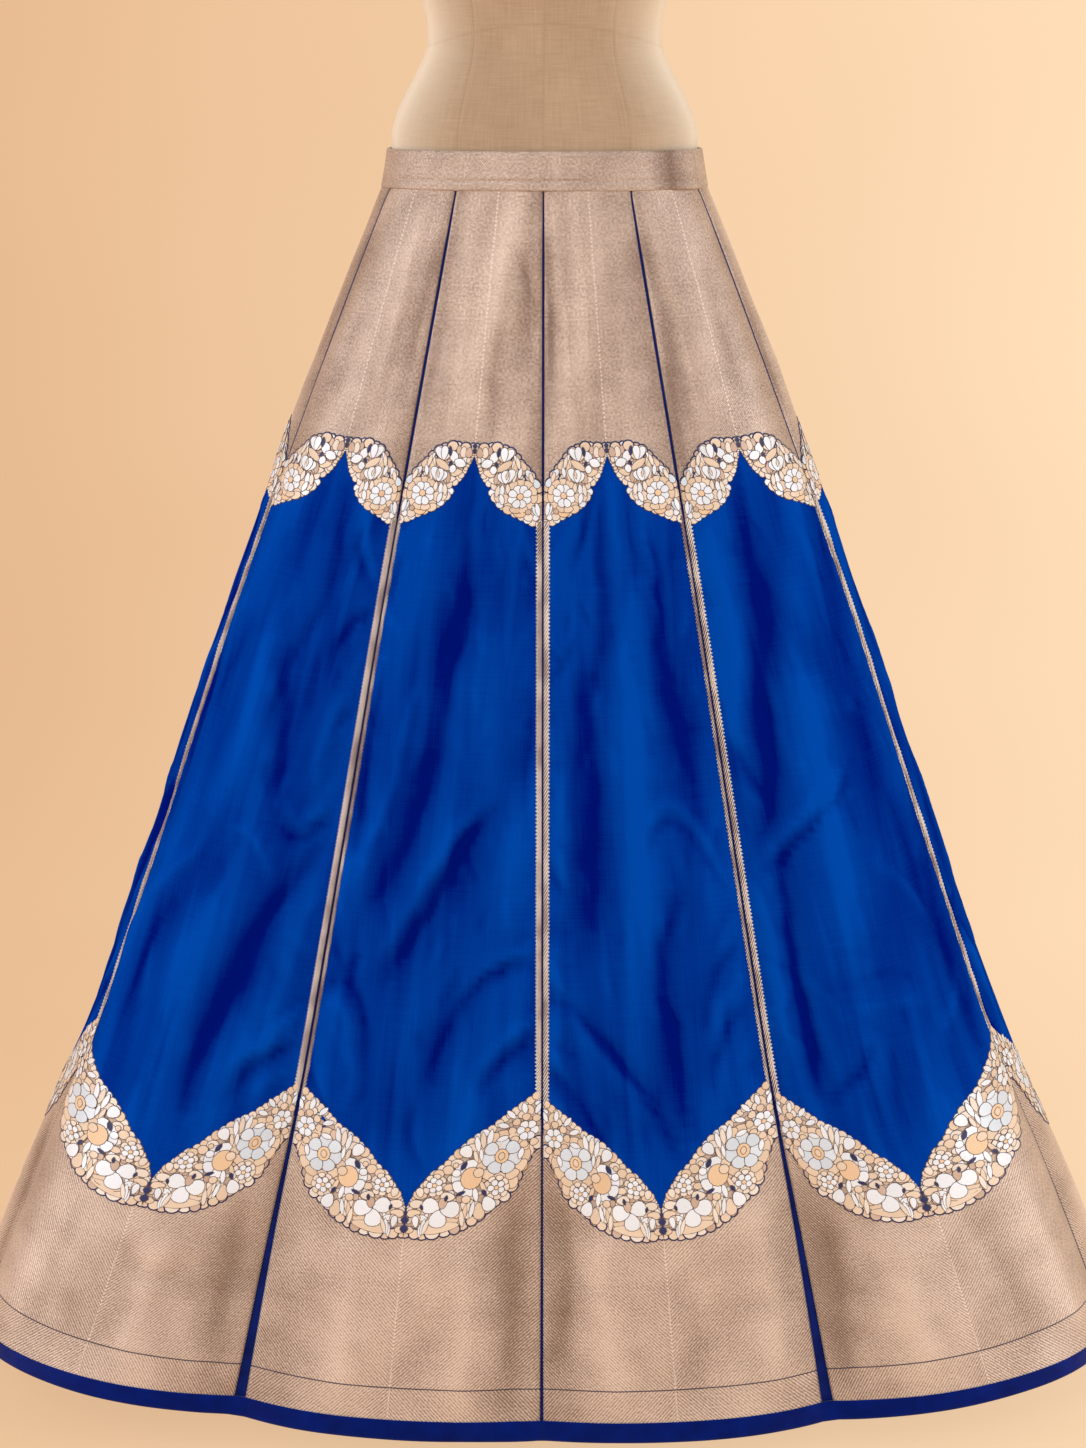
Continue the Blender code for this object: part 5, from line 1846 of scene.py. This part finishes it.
def add_waistband():
    """The strip all round, its last stretch raised over its first."""
    shares = np.linspace(BAND_END_SHARE - 1 - BAND_LAP_SHARE, BAND_END_SHARE, BAND_STEPS)
    rise = (shares - (BAND_END_SHARE - BAND_LAP_SHARE - BAND_RAMP_SHARE)) / (0.7 * BAND_RAMP_SHARE)
    lap = np.clip(rise, 0.0, 1.0) * (BAND_THICKNESS + 0.0003)
    _, half_width, half_depth, roundness = SECTIONS[0]
    top, _, _ = outline(BAND_TOP_HALF_WIDTH, BAND_TOP_HALF_DEPTH, roundness, shares)
    foot, outward, girth = outline(half_width, half_depth, roundness, shares)
    along = shares * girth + WAISTBAND_MAP_START
    dice = np.random.default_rng(9)
    wave = sum(np.sin(along * waves + dice.uniform(0, 6)) for waves in SETTLE_WAVES) / len(SETTLE_WAVES)
    rings, place_on = [], []
    for share, out in BAND_PROFILE:
        settle = SETTLE * wave * np.sin(np.pi * np.clip(share, 0, 1)) * (out > -0.001)
        flat = top * share + foot * (1 - share) + outward * (out + lap + settle)[:, None]
        rings.append(np.column_stack((flat, np.full(len(shares), WAIST_SEAM_HEIGHT + BAND_HEIGHT * share))))
        place_on.append(np.column_stack((along, np.full(len(shares), BAND_HEIGHT * (1 - share)))))
    rings, place_on = np.stack(rings, axis=1), np.stack(place_on, axis=1).reshape(-1, 2)
    points, faces, bake = wrap(rings, False)
    corners = np.concatenate([np.asarray(face) for face in faces])
    # Painted shade beside the lap.
    lie = LAP_SHADE * np.exp(-((shares - LAP_SHADE_SHARE) / LAP_SHADE_SPAN) ** 2)
    piece = add_mesh("waistband_zari", points, faces, [band_zari],
                     maps={"OFBake": bake, "band": place_on[corners]},
                     values={"lie": np.repeat(lie, len(BAND_PROFILE))})
    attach(piece, "root")
    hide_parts("waistband")
    return piece


band_zari = make_zari("waistband_zari", "band", ZARI_LIGHT, ZARI_DARK, ZARI_PALE)
band_piece = add_waistband()


# ------------------------------------------------------------------------------------------------
# Studio. A pale peach floor that curves up into its backdrop, large soft lights on both sides and
# one in front, and a camera a little above the waist.

FLOOR_FRONT = -6.0
FLOOR_BACK = 2.6
FLOOR_HALF_WIDTH = 7.0
CURVE_RADIUS = 1.4
BACKDROP_TOP = 6.0
BACKDROP_LEFT = (0.158, 0.096, 0.0535)
BACKDROP_RIGHT = (0.213, 0.159, 0.106)
BACKDROP_GLOW = 3.95
CAMERA_DISTANCE = 2.784
CAMERA_AZIMUTH = 0.0104
CAMERA_HEIGHT = 1.252
CAMERA_PITCH = 0.2214
CAMERA_TURN = 0.0005
CAMERA_LENS = 76.3
ROOM_COLOUR = (0.96, 0.98, 1.00, 1.00)
ROOM_STRENGTH = 0.62
# As (name, place, aim, width, height, watts, colour).
LIGHTS = (
    ("front_softbox", (-0.9, -3.6, 2.7), (0.0, 0.0, 0.70), 1.8, 1.8, 50.0, (0.98, 0.99, 1.00)),
    ("left_softbox", (-2.9, -0.6, 1.3), (0.0, 0.0, 0.75), 1.2, 2.4, 24.0, (0.96, 0.98, 1.00)),
    ("right_softbox", (2.9, -0.9, 1.4), (0.0, 0.0, 0.75), 1.2, 2.4, 26.0, (0.96, 0.98, 1.00)),
)


def make_backdrop():
    """The paper is seen from its front only: from behind it lets the view through to the skirt."""
    material, tree, shader = new_finish("seamless_paper", Roughness=0.9, Specular_IOR_Level=0.1)
    where = place(tree, "ShaderNodeTexCoord").outputs["Object"]
    across = place(tree, "ShaderNodeSeparateXYZ", {0: where}).outputs[0]
    grain = spread(tree, noise(tree, where, 0.8), 0.3, 0.7, -0.08, 0.08)
    side = reckon(tree, "ADD", spread(tree, across, -1.2, 1.2), grain)
    colour = tint(tree, side, BACKDROP_LEFT, BACKDROP_RIGHT)
    tree.links.new(colour, shader.inputs["Base Color"])
    tree.links.new(colour, shader.inputs["Emission Color"])
    shader.inputs["Emission Strength"].default_value = BACKDROP_GLOW
    behind = place(tree, "ShaderNodeNewGeometry").outputs["Backfacing"]
    opening = place(tree, "ShaderNodeBsdfTransparent").outputs[0]
    one_sided = place(tree, "ShaderNodeMixShader", {0: behind, 1: shader.outputs[0], 2: opening})
    tree.links.new(one_sided.outputs[0], tree.nodes["Material Output"].inputs["Surface"])
    steps = np.linspace(0.0, 0.5 * np.pi, 25)
    profile = [(FLOOR_FRONT, 0.0)]
    profile += [(FLOOR_BACK - CURVE_RADIUS + CURVE_RADIUS * np.sin(turn), CURVE_RADIUS * (1 - np.cos(turn)))
                for turn in steps]
    profile.append((FLOOR_BACK, BACKDROP_TOP))
    points = [(x, y, z) for y, z in profile for x in (-FLOOR_HALF_WIDTH, FLOOR_HALF_WIDTH)]
    faces = cells(np.arange(len(points)).reshape(-1, 2))
    add_mesh("studio_floor", points, faces, [material])


def make_lights():
    """The softboxes, and the dim light of the room itself."""
    for name, spot, target, width, height_of_box, watts, colour in LIGHTS:
        light = bpy.data.lights.new(name, "AREA")
        light.shape = "RECTANGLE"
        light.size, light.size_y = width, height_of_box
        light.energy = watts
        light.color = colour
        lamp = bpy.data.objects.new(name, light)
        lamp.location = spot
        lamp.rotation_euler = (Vector(target) - Vector(spot)).to_track_quat("-Z", "Y").to_euler()
        bpy.context.collection.objects.link(lamp)
    world = bpy.data.worlds.new("studio_air")
    world.use_nodes = True
    sky = world.node_tree.nodes["Background"]
    sky.inputs["Color"].default_value = ROOM_COLOUR
    sky.inputs["Strength"].default_value = ROOM_STRENGTH
    bpy.context.scene.world = world


def make_camera():
    """A long lens, aimed slightly down."""
    camera = bpy.data.cameras.new("camera")
    camera.lens = CAMERA_LENS
    camera.clip_end = 50.0
    eye = bpy.data.objects.new("camera", camera)
    eye.location = (CAMERA_DISTANCE * np.sin(CAMERA_AZIMUTH), -CAMERA_DISTANCE * np.cos(CAMERA_AZIMUTH),
                    CAMERA_HEIGHT)
    eye.rotation_euler = (0.5 * np.pi - CAMERA_PITCH, 0.0, CAMERA_AZIMUTH + CAMERA_TURN)
    bpy.context.collection.objects.link(eye)
    bpy.context.scene.camera = eye


make_backdrop()
make_lights()
make_camera()
bpy.context.scene.view_settings.view_transform = "Standard"
